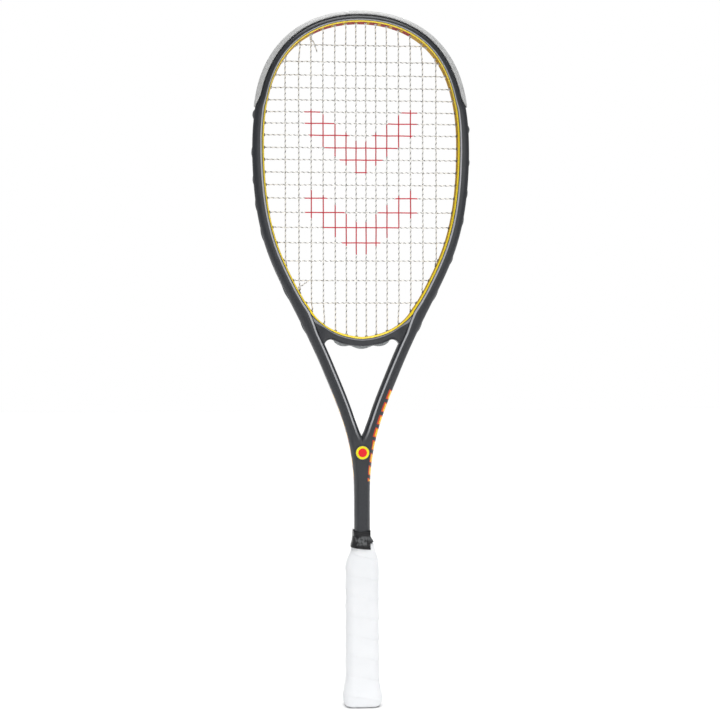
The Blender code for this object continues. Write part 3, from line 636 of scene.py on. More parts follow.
def make_throat_strip(finish):
    stop = float(np.interp(THROAT_STRIP_HALF, LOWER.points[:, 0], LOWER.run))
    base = STRIP_SECTION[-1][0]
    rings = []
    for s in np.linspace(0, stop, 60):
        here, up = LOWER.at(s), -LOWER.inward(s)
        x = here[0] / MM
        drop = max(float(bump((x - middle) / reach)) * depth for middle, reach, depth in LOBES) + 0.5
        drop *= min((THROAT_STRIP_HALF / MM - x) / 3 + 0.1, 1)
        ring = []
        for u, y in closed_section(STRIP_SECTION):
            k = 1 - u / base
            share = (k > 0.7) + 0.4 * (0.3 < k <= 0.7) * (abs(y) < 2.9)
            ring.append(lift(here + up * (min(u, THROAT_BASE) - drop * share) * MM, y * MM, s > 0))
        rings.append(ring)
    skin = mirrored_loft(rings)
    strip = add_piece("throat_strip", *skin, ("throat_grommet_strip",), "clear_nylon", finish)
    add_barrels(strip, BRIDGE_HOLES, THROAT_BARREL_BASE)


# ---- the string ----


def weave_y(x, j):
    """How far a cross stands off the string plane where it meets the main at x."""
    places = MAINS[::-1] + [-m for m in MAINS]
    column = int(np.argmin([abs(x - p) for p in places]))
    return WEAVE if (column + j) % 2 else -WEAVE


def offset_in(key, side, tied):
    """How far the string lies off the string plane in a hole. The tied end shares a wider hole."""
    if not is_shared(key, side):
        return 0.0
    return SHARED_OFFSET if (key == TIE_TOP) != tied else -SHARED_OFFSET


def hole_run(key, side, tied=False):
    hole = HOLES[key]
    run = [-BARREL_PROUD - 0.4 * MM, hole["reach"] - 0.5 * MM]
    return [lift(hole["mouth"] + hole["axis"] * reach, offset_in(key, side, tied), side) for reach in run]


def groove_run(key_a, key_b, side, sign, tied=False):
    """The string in the outer groove between two holes on one side of the racket."""
    a, b = HOLES[key_a], HOLES[key_b]
    y_a, y_b = offset_in(key_a, side, tied), offset_in(key_b, side, tied)
    path = BRIDGE_LAY if a["kind"] == "bridge" else LAY
    lo, hi = sorted((a["s"], b["s"]))
    passed = any(lo + MM < hole["s"] < hi - MM for hole in HOLES.values() if hole["kind"] == a["kind"])
    way = math.copysign(1, b["s"] - a["s"])
    first, last = a["s"] + way * TURN_START, b["s"] - way * TURN_START
    if passed:
        inner = np.linspace(a["s"] + way * LANE_START, b["s"] - way * LANE_START, 8)
        between = [(s, sign * LANE) for s in inner]
    else:
        between = [(first + (last - first) * t, y_a + (y_b - y_a) * t) for t in (0.25, 0.5, 0.75)]
    return [lift(path.at(s), y, side) for s, y in ((first, y_a), *between, (last, y_b))]


def middle_run():
    foot = HOLES[("main", 0, "foot")]["s"]
    spots = [(-1, foot - TURN_START), (-1, foot / 2), (1, foot / 2), (1, foot - TURN_START)]
    return [lift(BRIDGE_LAY.at(s), 0, side) for side, s in spots]


def cross_string(j, side):
    places = [side * m for m in MAINS[::-1]] + [-side * m for m in MAINS]
    reach = HOLES[("cross", j, "side")]["mouth"][0] - 1.5 * MM
    return [np.array([x, weave_y(x, j), CROSSES[j]]) for x in places if abs(x) < reach]


def main_string(i, side, downwards):
    """A main between its mouths, bent away from each cross that it meets."""
    x = side * MAINS[i]
    ends = [HOLES[("main", i, end)]["mouth"][1] for end in ("top", "foot")]
    points = []
    for j, z in enumerate(CROSSES):
        if ends[1] + 3 * MM < z < ends[0] - 3 * MM:
            points.append(np.array([x, -weave_y(x, j), z]))
    return points if downwards else points[::-1]


# Each knot, in millimetres from its hole's mouth: where its winding starts and ends, the side that it
# starts on, and two points of its free end.
TOP_KNOT = (-2.6, -5.2, -1, ((2.2, -3.0, -7), (6, -3.3, -18)))
FOOT_KNOT = (3.0, 5.6, 1, ((4, 2.6, 7), (9, 3.3, 11)))


def knot(tie, z_start, z_end, side_y, tail):
    """The tail wound round a main string, and its free end."""
    x, mouth = -MAINS[tie[1]], HOLES[tie]["mouth"][1]
    radius = 2 * STRING_RADIUS + 0.1 * MM
    points = []
    for t in np.linspace(0, 1, int(KNOT_TURNS * 10) + 1):
        angle = math.pi / 2 * side_y - 2 * math.pi * KNOT_TURNS * t
        spot = [x + radius * math.cos(angle), radius * math.sin(angle)]
        points.append(np.array([*spot, mouth + (z_start + (z_end - z_start) * t) * MM]))
    return points + [np.array([x + dx * MM, y * MM, mouth + dz * MM]) for dx, y, dz in tail]


def string_route():
    """The one length of string, from the knot at the upper left to the knot at the lower left."""
    last = len(MAINS) - 1
    route = knot(TIE_TOP, *TOP_KNOT)[::-1] + hole_run(TIE_TOP, -1, True)
    route += groove_run(TIE_TOP, ("main", last, "top"), -1, -1, True)
    order = [(i, -1) for i in range(last, -1, -1)] + [(i, 1) for i in range(last + 1)]
    for k, (i, side) in enumerate(order):
        down = k % 2 == 0
        start, end = ("top", "foot") if down else ("foot", "top")
        route += hole_run(("main", i, start), side)[::-1] + main_string(i, side, down)
        route += hole_run(("main", i, end), side)
        if k == last:
            route += middle_run()
        elif k < len(order) - 1:
            route += groove_run(("main", i, end), ("main", order[k + 1][0], end), side, -1)
    route += groove_run(("main", last, "top"), ("cross", 0, "side"), 1, 1)
    for j in range(len(CROSSES)):
        side, key = (1 if j % 2 == 0 else -1), ("cross", j, "side")
        route += hole_run(key, side)[::-1] + cross_string(j, side) + hole_run(key, -side)
        if j < len(CROSSES) - 1:
            route += groove_run(key, ("cross", j + 1, "side"), -side, 1)
    route += groove_run(("cross", len(CROSSES) - 1, "side"), TIE_FOOT, -1, 1, True)
    return route + hole_run(TIE_FOOT, -1, True)[::-1] + knot(TIE_FOOT, *FOOT_KNOT)


def resampled(route, step, rounds):
    """Evenly spaced points along a route, its corners rounded."""
    route = np.array(route)
    path = Path(route[np.concatenate([[True], step_lengths(route) > 0.1 * MM])])
    points = path.at(np.linspace(0, path.length, int(path.length / step)))
    for _ in range(rounds):
        points[1:-1] += 0.25 * (points[:-2] + points[2:] - 2 * points[1:-1])
    return points


def carried_frames(points):
    """Unit vectors across a path that don't twist about it."""
    along = np.gradient(points, axis=0)
    along /= np.linalg.norm(along, axis=1)[:, None]
    across = np.cross(along[0], [0, 1.0, 0.3])
    first = []
    for a in along:
        across = across - a * np.dot(across, a)
        across /= np.linalg.norm(across)
        first.append(across)
    first = np.array(first)
    return first, np.cross(along, first)


# The stencil: two stacked chevrons, in millimetres, by the height of their feet.
CHEVRON_FEET = (458, 538)
CHEVRON_REACH = 56
CHEVRON_SLOPE = 0.8
CHEVRON_HALF = 16
CHEVRON_TOP = 51


def stencilled(obj):
    """Puts the second material on the faces inside the chevrons."""
    for face in obj.data.polygons:
        x, z = abs(face.center[0]) / MM, face.center[2] / MM
        rises = [z - foot for foot in CHEVRON_FEET]
        inside = [abs(rise - CHEVRON_SLOPE * x) < CHEVRON_HALF and rise < CHEVRON_TOP for rise in rises]
        face.material_index = int(x < CHEVRON_REACH and any(inside))


def tube_along(points, turns, angles, radii):
    """A closed tube. Its section has these angles and radii, turned by so much at each point."""
    rings = []
    for p, a, b, turn in zip(points, *carried_frames(points), turns):
        cosines, sines = np.cos(angles + turn)[:, None], np.sin(angles + turn)[:, None]
        rings.append(p + radii[:, None] * (cosines * a + sines * b))
    return loft(rings)


# The tracer is a ribbon wound round the string, just outside it.
TRACER_STEP = 0.62 * MM
TRACER_PITCH = 5.2 * MM
TRACER_ANGLES = np.array([-1.05, -0.4, 0.4, 1.05, 0])
TRACER_RADII = np.array([0.66, 0.67, 0.67, 0.66, 0.3]) * MM


def make_string(cream, tracer, red):
    coarse = resampled(string_route(), 1.0 * MM, 3)
    skin = tube_along(coarse, np.zeros(len(coarse)), np.arange(8) * math.pi / 4, np.full(8, STRING_RADIUS))
    stencilled(add_piece("string_bed", *skin, ("string",), "string", cream, red, smooth=80))
    fine = resampled(coarse, TRACER_STEP, 0)
    turns = 2 * math.pi * np.arange(len(fine)) * TRACER_STEP / TRACER_PITCH
    skin = tube_along(fine, turns, TRACER_ANGLES, TRACER_RADII)
    stencilled(add_piece("string_tracer", *skin, ("string",), "string", tracer, red, smooth=80))


# ---- the handle ----

# Outside of the overgrip: height, width, depth, corner radius, in millimetres.
GRIP = (
    (0.1, 31.2, 26.6, 7.5), (0.5, 33.0, 28.4, 8), (1.4, 35.2, 30.4, 9), (3.0, 36.8, 31.8, 9.5),
    (5.5, 37.9, 32.6, 10), (9, 38.4, 33.0, 10), (12, 37.8, 32.5, 10), (17, 35.6, 30.6, 9.8),
    (23, 33.5, 28.7, 9.2), (31, 32.5, 27.7, 9), (137, 32.4, 27.6, 9), (143, 30.8, 27.0, 9.5),
    (149, 27.2, 25.6, 10), (153, 24.4, 24.0, 10), (157, 22.2, 22.6, 9.5), (160.4, 20.6, 21.9, 9),
)
GRIP_SHIFT = ((138, 0.0), (151, 0.9), (161, 1.2))
GRIP_PITCH = 19.65 * MM
GRIP_PHASE = 5.7 * MM
GRIP_STEP = 0.5 * MM
GRIP_COLUMNS = 112
# One lap of the overgrip: share of the pitch, and share of the step that the lap stands proud there.
LAP = (
    (0.0, 0.0), (0.012, 0.8), (0.03, 1.0), (0.08, 1.0), (0.16, 0.92), (0.25, 0.84), (0.35, 0.74),
    (0.45, 0.63), (0.55, 0.52), (0.65, 0.41), (0.75, 0.31), (0.85, 0.2), (0.93, 0.12), (0.985, 0.06),
)
# Outside of the finishing tape, given in the same way.
TAPE = (
    (153, 24.6, 24.8, 10), (155.5, 23.2, 24.4, 10), (159, 21.8, 23.6, 9), (163, 19.6, 22.4, 7),
    (168, 18.0, 21.2, 5.5), (173, 17.5, 20.9, 5),
)
# Round the tape from its right side by the back: its lower and its upper edge, in millimetres.
TAPE_FOOT = ((0, 155.0), (0.12, 156.8), (0.5, 157.4), (0.6, 156.9), (0.93, 154.4), (1, 155.0))
TAPE_HEAD = (
    (0, 173.4), (0.46, 173.0), (0.5, 174.2), (0.55, 175.6), (0.59, 173.2), (0.75, 171.9), (0.9, 172.4),
    (1, 173.4),
)
TAPE_RIGHT = 7.75 * MM
TAPE_LAP = 6.5
TAPE_LOOK = (("finishing_tape",), "black_tape")
WRINKLE_WAVES = 6


def facing(angle):
    return np.array([math.cos(angle), math.sin(angle)])


def box_point(turn, width, depth, corner):
    """Point and outward direction on a round-cornered box, turn being the share of its girth."""
    across, deep, arc = width - 2 * corner, depth - 2 * corner, math.pi / 2 * corner
    left = (turn % 1) * (2 * (across + deep) + 4 * arc)
    start = first = np.array([width / 2, -deep / 2])
    for quarter, side in enumerate((deep, across, deep, across)):
        angle = quarter * math.pi / 2
        out = facing(angle)
        along = np.array([-out[1], out[0]])
        if left <= side:
            return start + along * left, out
        left -= side
        centre = start + along * side - out * corner
        if left <= arc:
            out = facing(angle + left / corner)
            return centre + out * corner, out
        left -= arc
        start = centre + along * corner
    return first, facing(0)


def profile_at(profile, z):
    heights, *sizes = zip(*profile)
    return [np.interp(z / MM, heights, values) * MM for values in sizes]


def wrinkle(turn, z, seed, scale):
    """A smooth, repeatable unevenness from a few waves, about -1 to 1."""
    rng = np.random.default_rng(seed)
    total = 0.0
    for _ in range(WRINKLE_WAVES):
        around, up, phase = rng.integers(1, 6), rng.uniform(-1, 1) * scale, rng.uniform(0, 2 * math.pi)
        total += math.sin(2 * math.pi * around * turn + up * z / MM + phase)
    return total / 3.2


def make_overgrip(finish):
    """The wound tape: its rows follow the winding, so that each lap's edge is a clean step."""
    low, high = GRIP[0][0] * MM, GRIP[-1][0] * MM
    rows = (int((high - low) / GRIP_PITCH) + 4) * len(LAP)
    points = []
    for row in range(rows):
        share, proud = LAP[row % len(LAP)]
        for j in range(GRIP_COLUMNS + 1):
            turn = j / GRIP_COLUMNS
            climb = low + GRIP_PHASE + (row // len(LAP) - 1 + share - turn) * GRIP_PITCH
            z = min(max(climb, low), high)
            soft = min((z - low) / (6 * MM), 1) * min((high - z) / (2 * MM), 1)
            spot, out = box_point(turn, *profile_at(GRIP, z))
            fine = 0.10 * wrinkle(turn, climb, 7, 0.5) * MM
            p = spot + out * ((proud * GRIP_STEP + fine) * soft - GRIP_STEP)
            points.append(np.array([p[0] + keyed(GRIP_SHIFT, z), p[1], z]))
    faces = grid_faces(rows, GRIP_COLUMNS + 1)
    faces = [f for f in faces if len({round(points[k][2], 7) for k in f}) > 1]
    grip = add_piece("overgrip_tape", points, faces, ("overgrip",), "overgrip_white", finish, smooth=50)
    thicken(grip, GRIP_STEP)


def make_tape(finish):
    rows, columns = 44, 96
    rings = []
    for i in range(rows):
        ring = []
        for j in range(columns):
            turn, share = j / columns, i / (rows - 1)
            foot, head = (np.interp(turn, *zip(*edge)) for edge in (TAPE_FOOT, TAPE_HEAD))
            z = (foot + (head - foot) * share) * MM
            crease = 0.20 * wrinkle(turn, z, 3, 1.4) + 0.12 * wrinkle(turn * 2, z, 5, 2.6)
            lap = 0.16 * (math.sin(2 * math.pi * ((z / MM - 154) / TAPE_LAP - turn)) > 0.2)
            spot, out = box_point(turn, *profile_at(TAPE, z))
            p = spot + out * (crease + lap + 0.1) * MM
            p[0] = min(p[0], TAPE_RIGHT + 0.3 * crease * MM)
            ring.append(np.array([p[0], p[1], z]))
        rings.append(ring)
    thicken(add_piece("grip_end_tape", *loft(rings, cap=False), *TAPE_LOOK, finish, smooth=55), 0.25 * MM)


def make_flap(finish):
    """The loose corner of the finishing tape, which stands off its right edge."""
    points = []
    for t in np.linspace(0, 1, 10):
        for v in np.linspace(0, 1, 7):
            foot, head = 160.9 + 1.3 * t, 168.6 - 6.0 * t
            curl = 0.5 * math.sin(math.pi * t) * (1 - v)
            points.append(np.array([7.2 + 3.6 * t, -9.9 + 2.8 * t - curl, foot + (head - foot) * v]) * MM)
    thicken(add_piece("tape_flap", points, grid_faces(10, 7), *TAPE_LOOK, finish, smooth=60), 0.3 * MM)


# The badge, from its rim to its middle: height, radius, both in millimetres, and the finish from there on.
FACE, RIM, DOT = range(3)
BADGE = (
    (0.0, 7.1, RIM), (0.35, 7.2, RIM), (0.6, 7.1, RIM), (0.7, 6.55, FACE), (0.8, 5.9, FACE),
    (0.90, 4.3, DOT), (0.96, 3.0, DOT), (0.99, 1.5, DOT), (1.0, 0.05, DOT),
)
BADGE_DROP = 0.8 * MM
BADGE_SIDES = 64


def make_badge(*finishes):
    """A domed disc with a dark rim line and a plain dot."""
    low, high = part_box("throat_badge")
    middle = (low.z + high.z) / 2 - BADGE_DROP
    angles = [2 * math.pi * k / BADGE_SIDES for k in range(BADGE_SIDES)]
    rings, kinds = [], []
    for rise, radius, kind in BADGE:
        r, y = radius * MM, high.y - rise * MM
        rings.append([(r * math.cos(a), y, middle + r * math.sin(a)) for a in angles])
        kinds += [kind] * BADGE_SIDES
    kinds[-BADGE_SIDES:] = [FACE, DOT]
    badge = (*loft(rings), ("throat_badge",), "badge_yellow")
    add_piece("round_badge", *badge, *finishes, smooth=50, kinds=kinds)


# ---- materials ----


def add_node(tree, kind, inputs=(), out=0, **settings):
    """Adds a node whose inputs are values or sockets, and returns one of its outputs."""
    made = tree.nodes.new("ShaderNode" + kind)
    for key, value in settings.items():
        setattr(made, key, value)
    for key, value in dict(inputs).items():
        if isinstance(value, bpy.types.NodeSocket):
            tree.links.new(value, made.inputs[key])
        else:
            made.inputs[key].default_value = value
    return made.outputs[out]


class Recipe:
    """A node material, built up by short calls that return sockets."""

    def __init__(self, name, colour, roughness, **fixed):
        self.material = bpy.data.materials.new(name)
        self.material.use_nodes = True
        self.tree = self.material.node_tree
        self.shader = self.tree.nodes["Principled BSDF"]
        self.shader.inputs["Base Color"].default_value = (*colour, 1)
        self.shader.inputs["Roughness"].default_value = roughness
        for key, value in fixed.items():
            self.shader.inputs[key.replace("_", " ")].default_value = value

    def node(self, kind, inputs=(), out=0, **settings):
        return add_node(self.tree, kind, inputs, out, **settings)

    def maths(self, operation, a, b=0.0):
        return self.node("Math", {0: a, 1: b}, operation=operation)

    def times(self, first, *others):
        for other in others:
            first = self.maths("MULTIPLY", first, other)
        return first

    def axes(self, vector):
        return tuple(self.node("SeparateXYZ", {0: vector}).node.outputs)

    def between(self, value, low, high, soft):
        """1 between low and high, with soft edges of that width."""
        up = self.node("MapRange", {0: value, 1: low - soft, 2: low, 3: 0.0, 4: 1.0})
        down = self.node("MapRange", {0: value, 1: high, 2: high + soft, 3: 1.0, 4: 0.0})
        return self.times(up, down)

    def mix(self, share, a, b):
        a, b = ((*colour, 1) if isinstance(colour, tuple) else colour for colour in (a, b))
        return self.node("Mix", {0: share, 6: a, 7: b}, 2, data_type="RGBA")

    def place(self):
        return self.node("TexCoord", out=3)

    def stretched(self, vector, scale):
        return self.node("Mapping", {0: vector, 3: scale})

    def noise(self, vector, scale, detail=3.0, roughness=0.5):
        inputs = {"Vector": vector, "Scale": scale, "Detail": detail, "Roughness": roughness}
        return self.node("TexNoise", inputs)

    def spread(self, value, low, high):
        return self.node("MapRange", {0: value, 3: low, 4: high})

    def use(self, socket, value):
        self.tree.links.new(value, self.shader.inputs[socket])

    def bump(self, height, strength, distance):
        inputs = {"Height": height, "Strength": strength, "Distance": distance}
        self.use("Normal", self.node("Bump", inputs))


def shades(colour, dark, light):
    """Two shades of a colour."""
    return tuple(dark * c for c in colour), tuple(min(light * c, 1) for c in colour)


CHARCOAL = (0.030, 0.032, 0.037)
FLECK = (0.11, 0.12, 0.13)
YELLOW = (1.0, 0.76, 0.02)
# The inner face's darker yellow is painted shade: the lip's yellow paint, darkened as if in shade.
SHADED_YELLOW = (0.46, 0.26, 0.004)
NAVY = (0.012, 0.018, 0.05)
# Pale silver along the crest: partly a silver pinstripe, partly a painted highlight of the crest's
# reflection.
SILVER_HIGHLIGHT = (0.46, 0.47, 0.49)
# The dashes' printed red, darkened with painted shade as on the inner face.
SHADED_DASH_RED = (0.27, 0.008, 0.006)
DECAL_RED = (0.75, 0.06, 0.01)
DECAL_ORANGE = (1.0, 0.62, 0.01)
# Bands along the tube, as shares of the way from its outer rim to its inner face.
SILVER_HIGHLIGHT_BAND = (0.685, 0.80)
NAVY_FROM = 0.815
LIP_SHARE = 0.872
INNER_SHARE = 0.985
# The bands sit lower on the narrow bow, so that they run on from those of the tube.
BOW_BAND_SHIFT = 0.085
BOW_RUN = 1.0 * MM
BOW_TOP_Z = 450 * MM
# The painted highlight is weaker on the bow and fades out low on the arms, as the crest's reflection does.
SILVER_HIGHLIGHT_COVER = 0.95
BOW_HIGHLIGHT_LOSS = 0.45
HIGHLIGHT_END_Z = 280 * MM
# Red dashes on the inner face at the top of the head; their printed red is darkened with painted shade.
DASH_PITCH = 12.7 * MM
DASH_ENDS = (0.12, 0.82)
DASHES_RUN = 57 * MM
DASH_HALF_DEPTH = 5.6 * MM
# Slanted bars down the outer side of each arm, turned half a turn from one arm to the other.
BAR_PITCH = 12.4 * MM
BAR_SLANT = 0.45
BAR_HALF_SHARE = 0.36
BAR_HALF_WIDTH = 6.2 * MM
BAR_SHIFT = 2.4 * MM
BAR_RIM = 0.9 * MM
BARS_SPAN = (222 * MM, 313 * MM)
BARS_SHARE = 0.30
FINE = 0.1 * MM


def bars(r, colour, share, x, y, z):
    """The colour with the slanted bars laid over it."""
    turned = r.times(y, r.maths("SIGN", x))
    slant = r.maths("ADD", z, r.times(turned, BAR_SLANT))
    bar = r.maths("FRACT", r.maths("DIVIDE", slant, BAR_PITCH))
    from_middle = r.maths("ABSOLUTE", r.maths("SUBTRACT", bar, 0.5))
    from_end = r.times(r.maths("SUBTRACT", BAR_HALF_SHARE, from_middle), BAR_PITCH)
    off_line = r.maths("ABSOLUTE", r.maths("ADD", turned, BAR_SHIFT))
    inset = r.maths("MINIMUM", from_end, r.maths("SUBTRACT", BAR_HALF_WIDTH, off_line))
    zone = r.times(r.between(z, *BARS_SPAN, FINE), r.between(share, -1.0, BARS_SHARE, 0.01))
    colour = r.mix(r.times(r.between(inset, 0.0, 1.0, FINE), zone), colour, DECAL_RED)
    return r.mix(r.times(r.between(inset, BAR_RIM, 1.0, FINE), zone), colour, DECAL_ORANGE)


def paint_material():
    """Carbon frame paint: share runs from the outer rim to the inner face, run along the tube."""
    gloss = {"Specular_IOR_Level": 0.40, "Coat_Weight": 0.05, "Coat_Roughness": 0.14}
    r = Recipe("graphite_paint_fine", CHARCOAL, 0.34, **gloss)
    uv = r.node("UVMap", uv_map="paint")
    share, run, _ = r.axes(uv)
    length = r.maths("ABSOLUTE", run)
    place = r.place()
    x, y, z = r.axes(place)

    fibres = r.noise(r.stretched(uv, (90.0, 55.0, 1.0)), 4.0, 6.0, 0.65)
    dark = r.mix(fibres, *shades(CHARCOAL, 0.80, 1.28))
    dark = r.mix(r.spread(r.noise(place, 900.0, 2.0), 0.0, 0.12), dark, FLECK)
    on_bow = r.times(r.maths("LESS_THAN", length, 2 * BOW_RUN), r.maths("LESS_THAN", z, BOW_TOP_Z))
    in_head = r.maths("MAXIMUM", r.maths("GREATER_THAN", z, HEAD_END_Z), on_bow)
    band = r.maths("ADD", share, r.times(on_bow, BOW_BAND_SHIFT))
    cover = r.maths("SUBTRACT", SILVER_HIGHLIGHT_COVER, r.times(on_bow, BOW_HIGHLIGHT_LOSS))
    # Painted highlight: the silver band along the crest, part pinstripe and part the crest's reflection.
    silver_highlight = r.times(r.between(band, *SILVER_HIGHLIGHT_BAND, 0.015), cover, r.between(z, HIGHLIGHT_END_Z, 1.0, 18 * MM))
    colour = r.mix(silver_highlight, dark, SILVER_HIGHLIGHT)
    colour = r.mix(r.times(r.between(band, NAVY_FROM, LIP_SHARE, 0.006), in_head), colour, NAVY)
    lip = r.times(r.between(band, LIP_SHARE, 2.0, 0.004), in_head)
    face = r.between(share, INNER_SHARE, 2.0, 0.006)
    # The inner face gets the darker yellow, painted shade on the same yellow paint.
    colour = r.mix(lip, colour, r.mix(face, YELLOW, SHADED_YELLOW))

    cell = r.maths("FRACT", r.maths("DIVIDE", r.maths("ADD", run, 0.5), DASH_PITCH))
    near = r.times(r.between(length, -1.0, DASHES_RUN, 0.2 * MM), r.maths("SUBTRACT", 1.0, on_bow))
    depth = r.between(y, -DASH_HALF_DEPTH, DASH_HALF_DEPTH, FINE)
    dashes = r.times(r.between(cell, *DASH_ENDS, 0.02), near, depth, face, lip)
    # The dashes: printed red with painted shade.
    colour = r.mix(dashes, colour, SHADED_DASH_RED)

    r.use("Base Color", bars(r, colour, share, x, y, z))
    matt = r.times(face, lip, 0.45)
    r.use("Roughness", r.maths("ADD", r.spread(r.noise(place, 120.0, 4.0), 0.24, 0.42), matt))
    r.bump(fibres, 0.05, FINE)
    return r.material


def nylon_material(name, colour, see_through):
    r = Recipe(name, colour, 0.35, Transmission_Weight=see_through, IOR=1.5, Subsurface_Weight=0.25)
    r.shader.inputs["Subsurface Radius"].default_value = (4 * MM,) * 3
    place = r.place()
    r.use("Base Color", r.mix(r.noise(place, 160.0, 3.0), *shades(colour, 0.9, 1.08)))
    scratches = r.noise(r.stretched(place, (900.0, 200.0, 900.0)), 1.0, 2.0)
    r.use("Roughness", r.spread(scratches, 0.28, 0.5))
    r.bump(scratches, 0.08, FINE)
    return r.material


def string_material(name, colour, contrast):
    r = Recipe(name, colour, 0.42, Specular_IOR_Level=0.4)
    strands = r.noise(r.place(), 2500.0, 2.0)
    r.use("Base Color", r.mix(strands, *shades(colour, 1 - contrast, 1 + contrast)))
    r.bump(strands, 0.2, 0.05 * MM)
    return r.material


def overgrip_material():
    r = Recipe("overgrip_felt", (0.90, 0.91, 0.93), 0.62, Sheen_Weight=0.15, Specular_IOR_Level=0.35)
    place = r.place()
    cloud = r.noise(place, 60.0, 4.0)
    r.use("Base Color", r.mix(cloud, (0.86, 0.875, 0.895), (0.93, 0.94, 0.955)))
    pores = r.node("TexVoronoi", {"Vector": place, "Scale": 1400.0})
    grain = r.maths("ADD", r.times(pores, 0.6), r.noise(place, 500.0, 3.0))
    r.use("Roughness", r.spread(cloud, 0.55, 0.72))
    r.bump(grain, 0.12, FINE)
    return r.material


# Where the tape is stretched over the end of the grip; the lighter patches painted there are a painted
# sheen.
SHEEN_SPAN = (160.5 * MM, 166.5 * MM)


def tape_material():
    r = Recipe("vinyl_tape", (0.012, 0.012, 0.013), 0.28, Specular_IOR_Level=0.2)
    place = r.place()
    creases = r.noise(r.stretched(place, (260.0, 260.0, 120.0)), 1.0, 3.0, 0.6)
    painted_sheen = r.between(r.axes(place)[2], *SHEEN_SPAN, 2.5 * MM)
    sheen_patches = r.spread(r.noise(r.stretched(place, (420.0, 420.0, 190.0)), 1.0, 2.0), -3.0, 3.6)
    sheen_patches = r.maths("MINIMUM", r.maths("MAXIMUM", sheen_patches, 0.0), 1.0)
    black = r.mix(creases, (0.006, 0.006, 0.007), (0.03, 0.03, 0.032))
    # Painted highlight: lighter grey patches over the stretched band stand in for the tape's sheen.
    r.use("Base Color", r.mix(r.times(painted_sheen, sheen_patches), black, (0.12, 0.124, 0.128)))
    r.use("Roughness", r.spread(creases, 0.18, 0.45))
    r.bump(creases, 0.5, 0.4 * MM)
    return r.material


def plain_material(name, colour, roughness, scale, metallic=0.0):
    """A moulded or printed finish with fine unevenness."""
    r = Recipe(name, colour, roughness, Metallic=metallic)
    grain = r.noise(r.place(), scale, 4.0)
    r.use("Base Color", r.mix(grain, *shades(colour, 0.88, 1.1)))
    r.use("Roughness", r.spread(grain, 0.8 * roughness, min(1.2 * roughness, 1)))
    r.bump(grain, 0.1, FINE)
    return r.material


def dress_carried_nodes():
    """Better finishes for the CAD nodes that are shown as they are."""
    finishes = {
        "handle_foam": ("cast_foam", (0.72, 0.66, 0.50), 0.85, 700.0),
        "base_grip": ("cushion_wrap", (0.03, 0.03, 0.035), 0.8, 500.0),
        "butt_cap": ("butt_moulding", (0.86, 0.87, 0.88), 0.5, 600.0),
        "butt_cap_tack_left": ("plated_tack_left", (0.6, 0.6, 0.6), 0.3, 300.0, 1.0),
        "butt_cap_tack_right": ("plated_tack_right", (0.6, 0.6, 0.6), 0.3, 300.0, 1.0),
        "butt_label": ("printed_label", (0.95, 0.62, 0.01), 0.35, 300.0),
    }
    for node, finish in finishes.items():
        made = plain_material(*finish)
        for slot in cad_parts[node].material_slots:
            slot.material = made


# ---- studio ----

FLOOR = ((-8, -0.9, 0), (8, -0.9, 0), (8, 8, 0), (-8, 8, 0))
FLOOR_DROP = 0.2 * MM
# The world's light on the object, from straight in front to behind.
WORLD_LEVELS = (0.15, 0.30)
WORLD_RAMP = (-0.9, 0.6)
FRONT_BOX_PLACE = (0.35, -2.7, 0.8)
FRONT_BOX_TARGET = (0, 0, 0.4)
CAMERA_PLACE = (-0.1305, -1.5, 0.345)
CAMERA_TURN = (0.0858, -0.0024, -0.0026)
LENS = 76.08


def make_studio():
    r = Recipe("pale_floor", (0.92,) * 3, 0.9)
    r.use("Base Color", r.mix(r.noise(r.place(), 3.0), (0.915,) * 3, (0.925,) * 3))
    mesh = bpy.data.meshes.new("floor")
    mesh.from_pydata(FLOOR, [], [(0, 1, 2, 3)])
    mesh.materials.append(r.material)
    floor = add_object("floor", mesh)
    floor.location.z = -FLOOR_DROP
    bpy.context.scene.world = make_world()
    sun = bpy.data.lights.new("ceiling", "SUN")
    sun.energy = 3.1
    sun.angle = 1.0
    add_object("ceiling", sun)
    light = bpy.data.lights.new("front_box", "AREA")
    light.shape = "RECTANGLE"
    light.size, light.size_y = 5.0, 1.5
    light.energy = 36
    box = add_object("front_box", light)
    box.location = FRONT_BOX_PLACE
    box.rotation_euler = (Vector(FRONT_BOX_TARGET) - box.location).to_track_quat("-Z", "Y").to_euler()


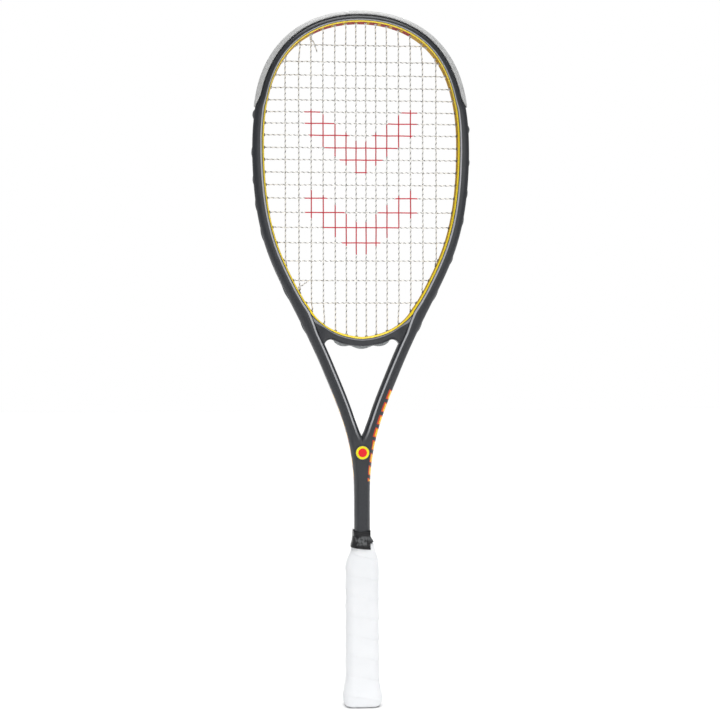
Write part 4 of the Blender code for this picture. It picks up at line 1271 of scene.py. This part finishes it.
def make_world():
    """White to the camera; what it sheds on the object is dimmer in front of it than behind it."""
    world = bpy.data.worlds.new("studio")
    world.use_nodes = True
    tree = world.node_tree
    toward = add_node(tree, "TexCoord")
    forward = add_node(tree, "SeparateXYZ", {0: toward}, 1)
    shed = add_node(tree, "MapRange", enumerate((forward, *WORLD_RAMP, *WORLD_LEVELS)))
    to_camera = add_node(tree, "LightPath")
    level = add_node(tree, "Math", {0: to_camera, 1: shed}, operation="MAXIMUM")
    background = tree.nodes["Background"]
    background.inputs[0].default_value = (1, 1, 1, 1)
    tree.links.new(level, background.inputs[1])
    return world


def make_camera():
    camera = bpy.data.cameras.new("camera")
    camera.sensor_fit = "HORIZONTAL"
    camera.lens = LENS
    camera.clip_start = 0.05
    made = add_object("camera", camera)
    yaw, pitch, roll = CAMERA_TURN
    ahead = Vector((math.sin(yaw) * math.cos(pitch), math.cos(yaw) * math.cos(pitch), math.sin(pitch)))
    made.matrix_world = ahead.to_track_quat("-Z", "Y").to_matrix().to_4x4()
    made.location = CAMERA_PLACE
    made.rotation_euler.rotate_axis("Z", roll)
    bpy.context.scene.camera = made


def main():
    make_camera()
    make_studio()
    bpy.context.scene.view_settings.view_transform = "Standard"
    paint = paint_material()
    make_frame(paint)
    make_bridge(paint)
    make_bumper(nylon_material("guard_nylon", (0.66, 0.665, 0.66), 0.15))
    smoky = nylon_material("strip_nylon", (0.16, 0.17, 0.18), 0.3)
    make_side_strip("side_strip_right", "grommet_strip_right", 1, HUMPS_RIGHT, smoky)
    make_side_strip("side_strip_left", "grommet_strip_left", -1, HUMPS_LEFT, smoky)
    make_throat_strip(nylon_material("throat_nylon", (0.42, 0.44, 0.45), 0.3))
    make_string(
        string_material("string_cream", (0.97, 0.955, 0.915), 0.03),
        string_material("tracer_grey", (0.02, 0.02, 0.025), 0.2),
        string_material("stencil_red", (0.68, 0.03, 0.055), 0.12),
    )
    make_overgrip(overgrip_material())
    vinyl = tape_material()
    make_tape(vinyl)
    make_flap(vinyl)
    make_badge(
        plain_material("badge_face", (1.0, 0.84, 0.0), 0.5, 200.0),
        plain_material("badge_rim", (0.01, 0.015, 0.06), 0.3, 200.0),
        plain_material("badge_dot", (0.92, 0.004, 0.012), 0.6, 200.0),
    )
    dress_carried_nodes()


main()
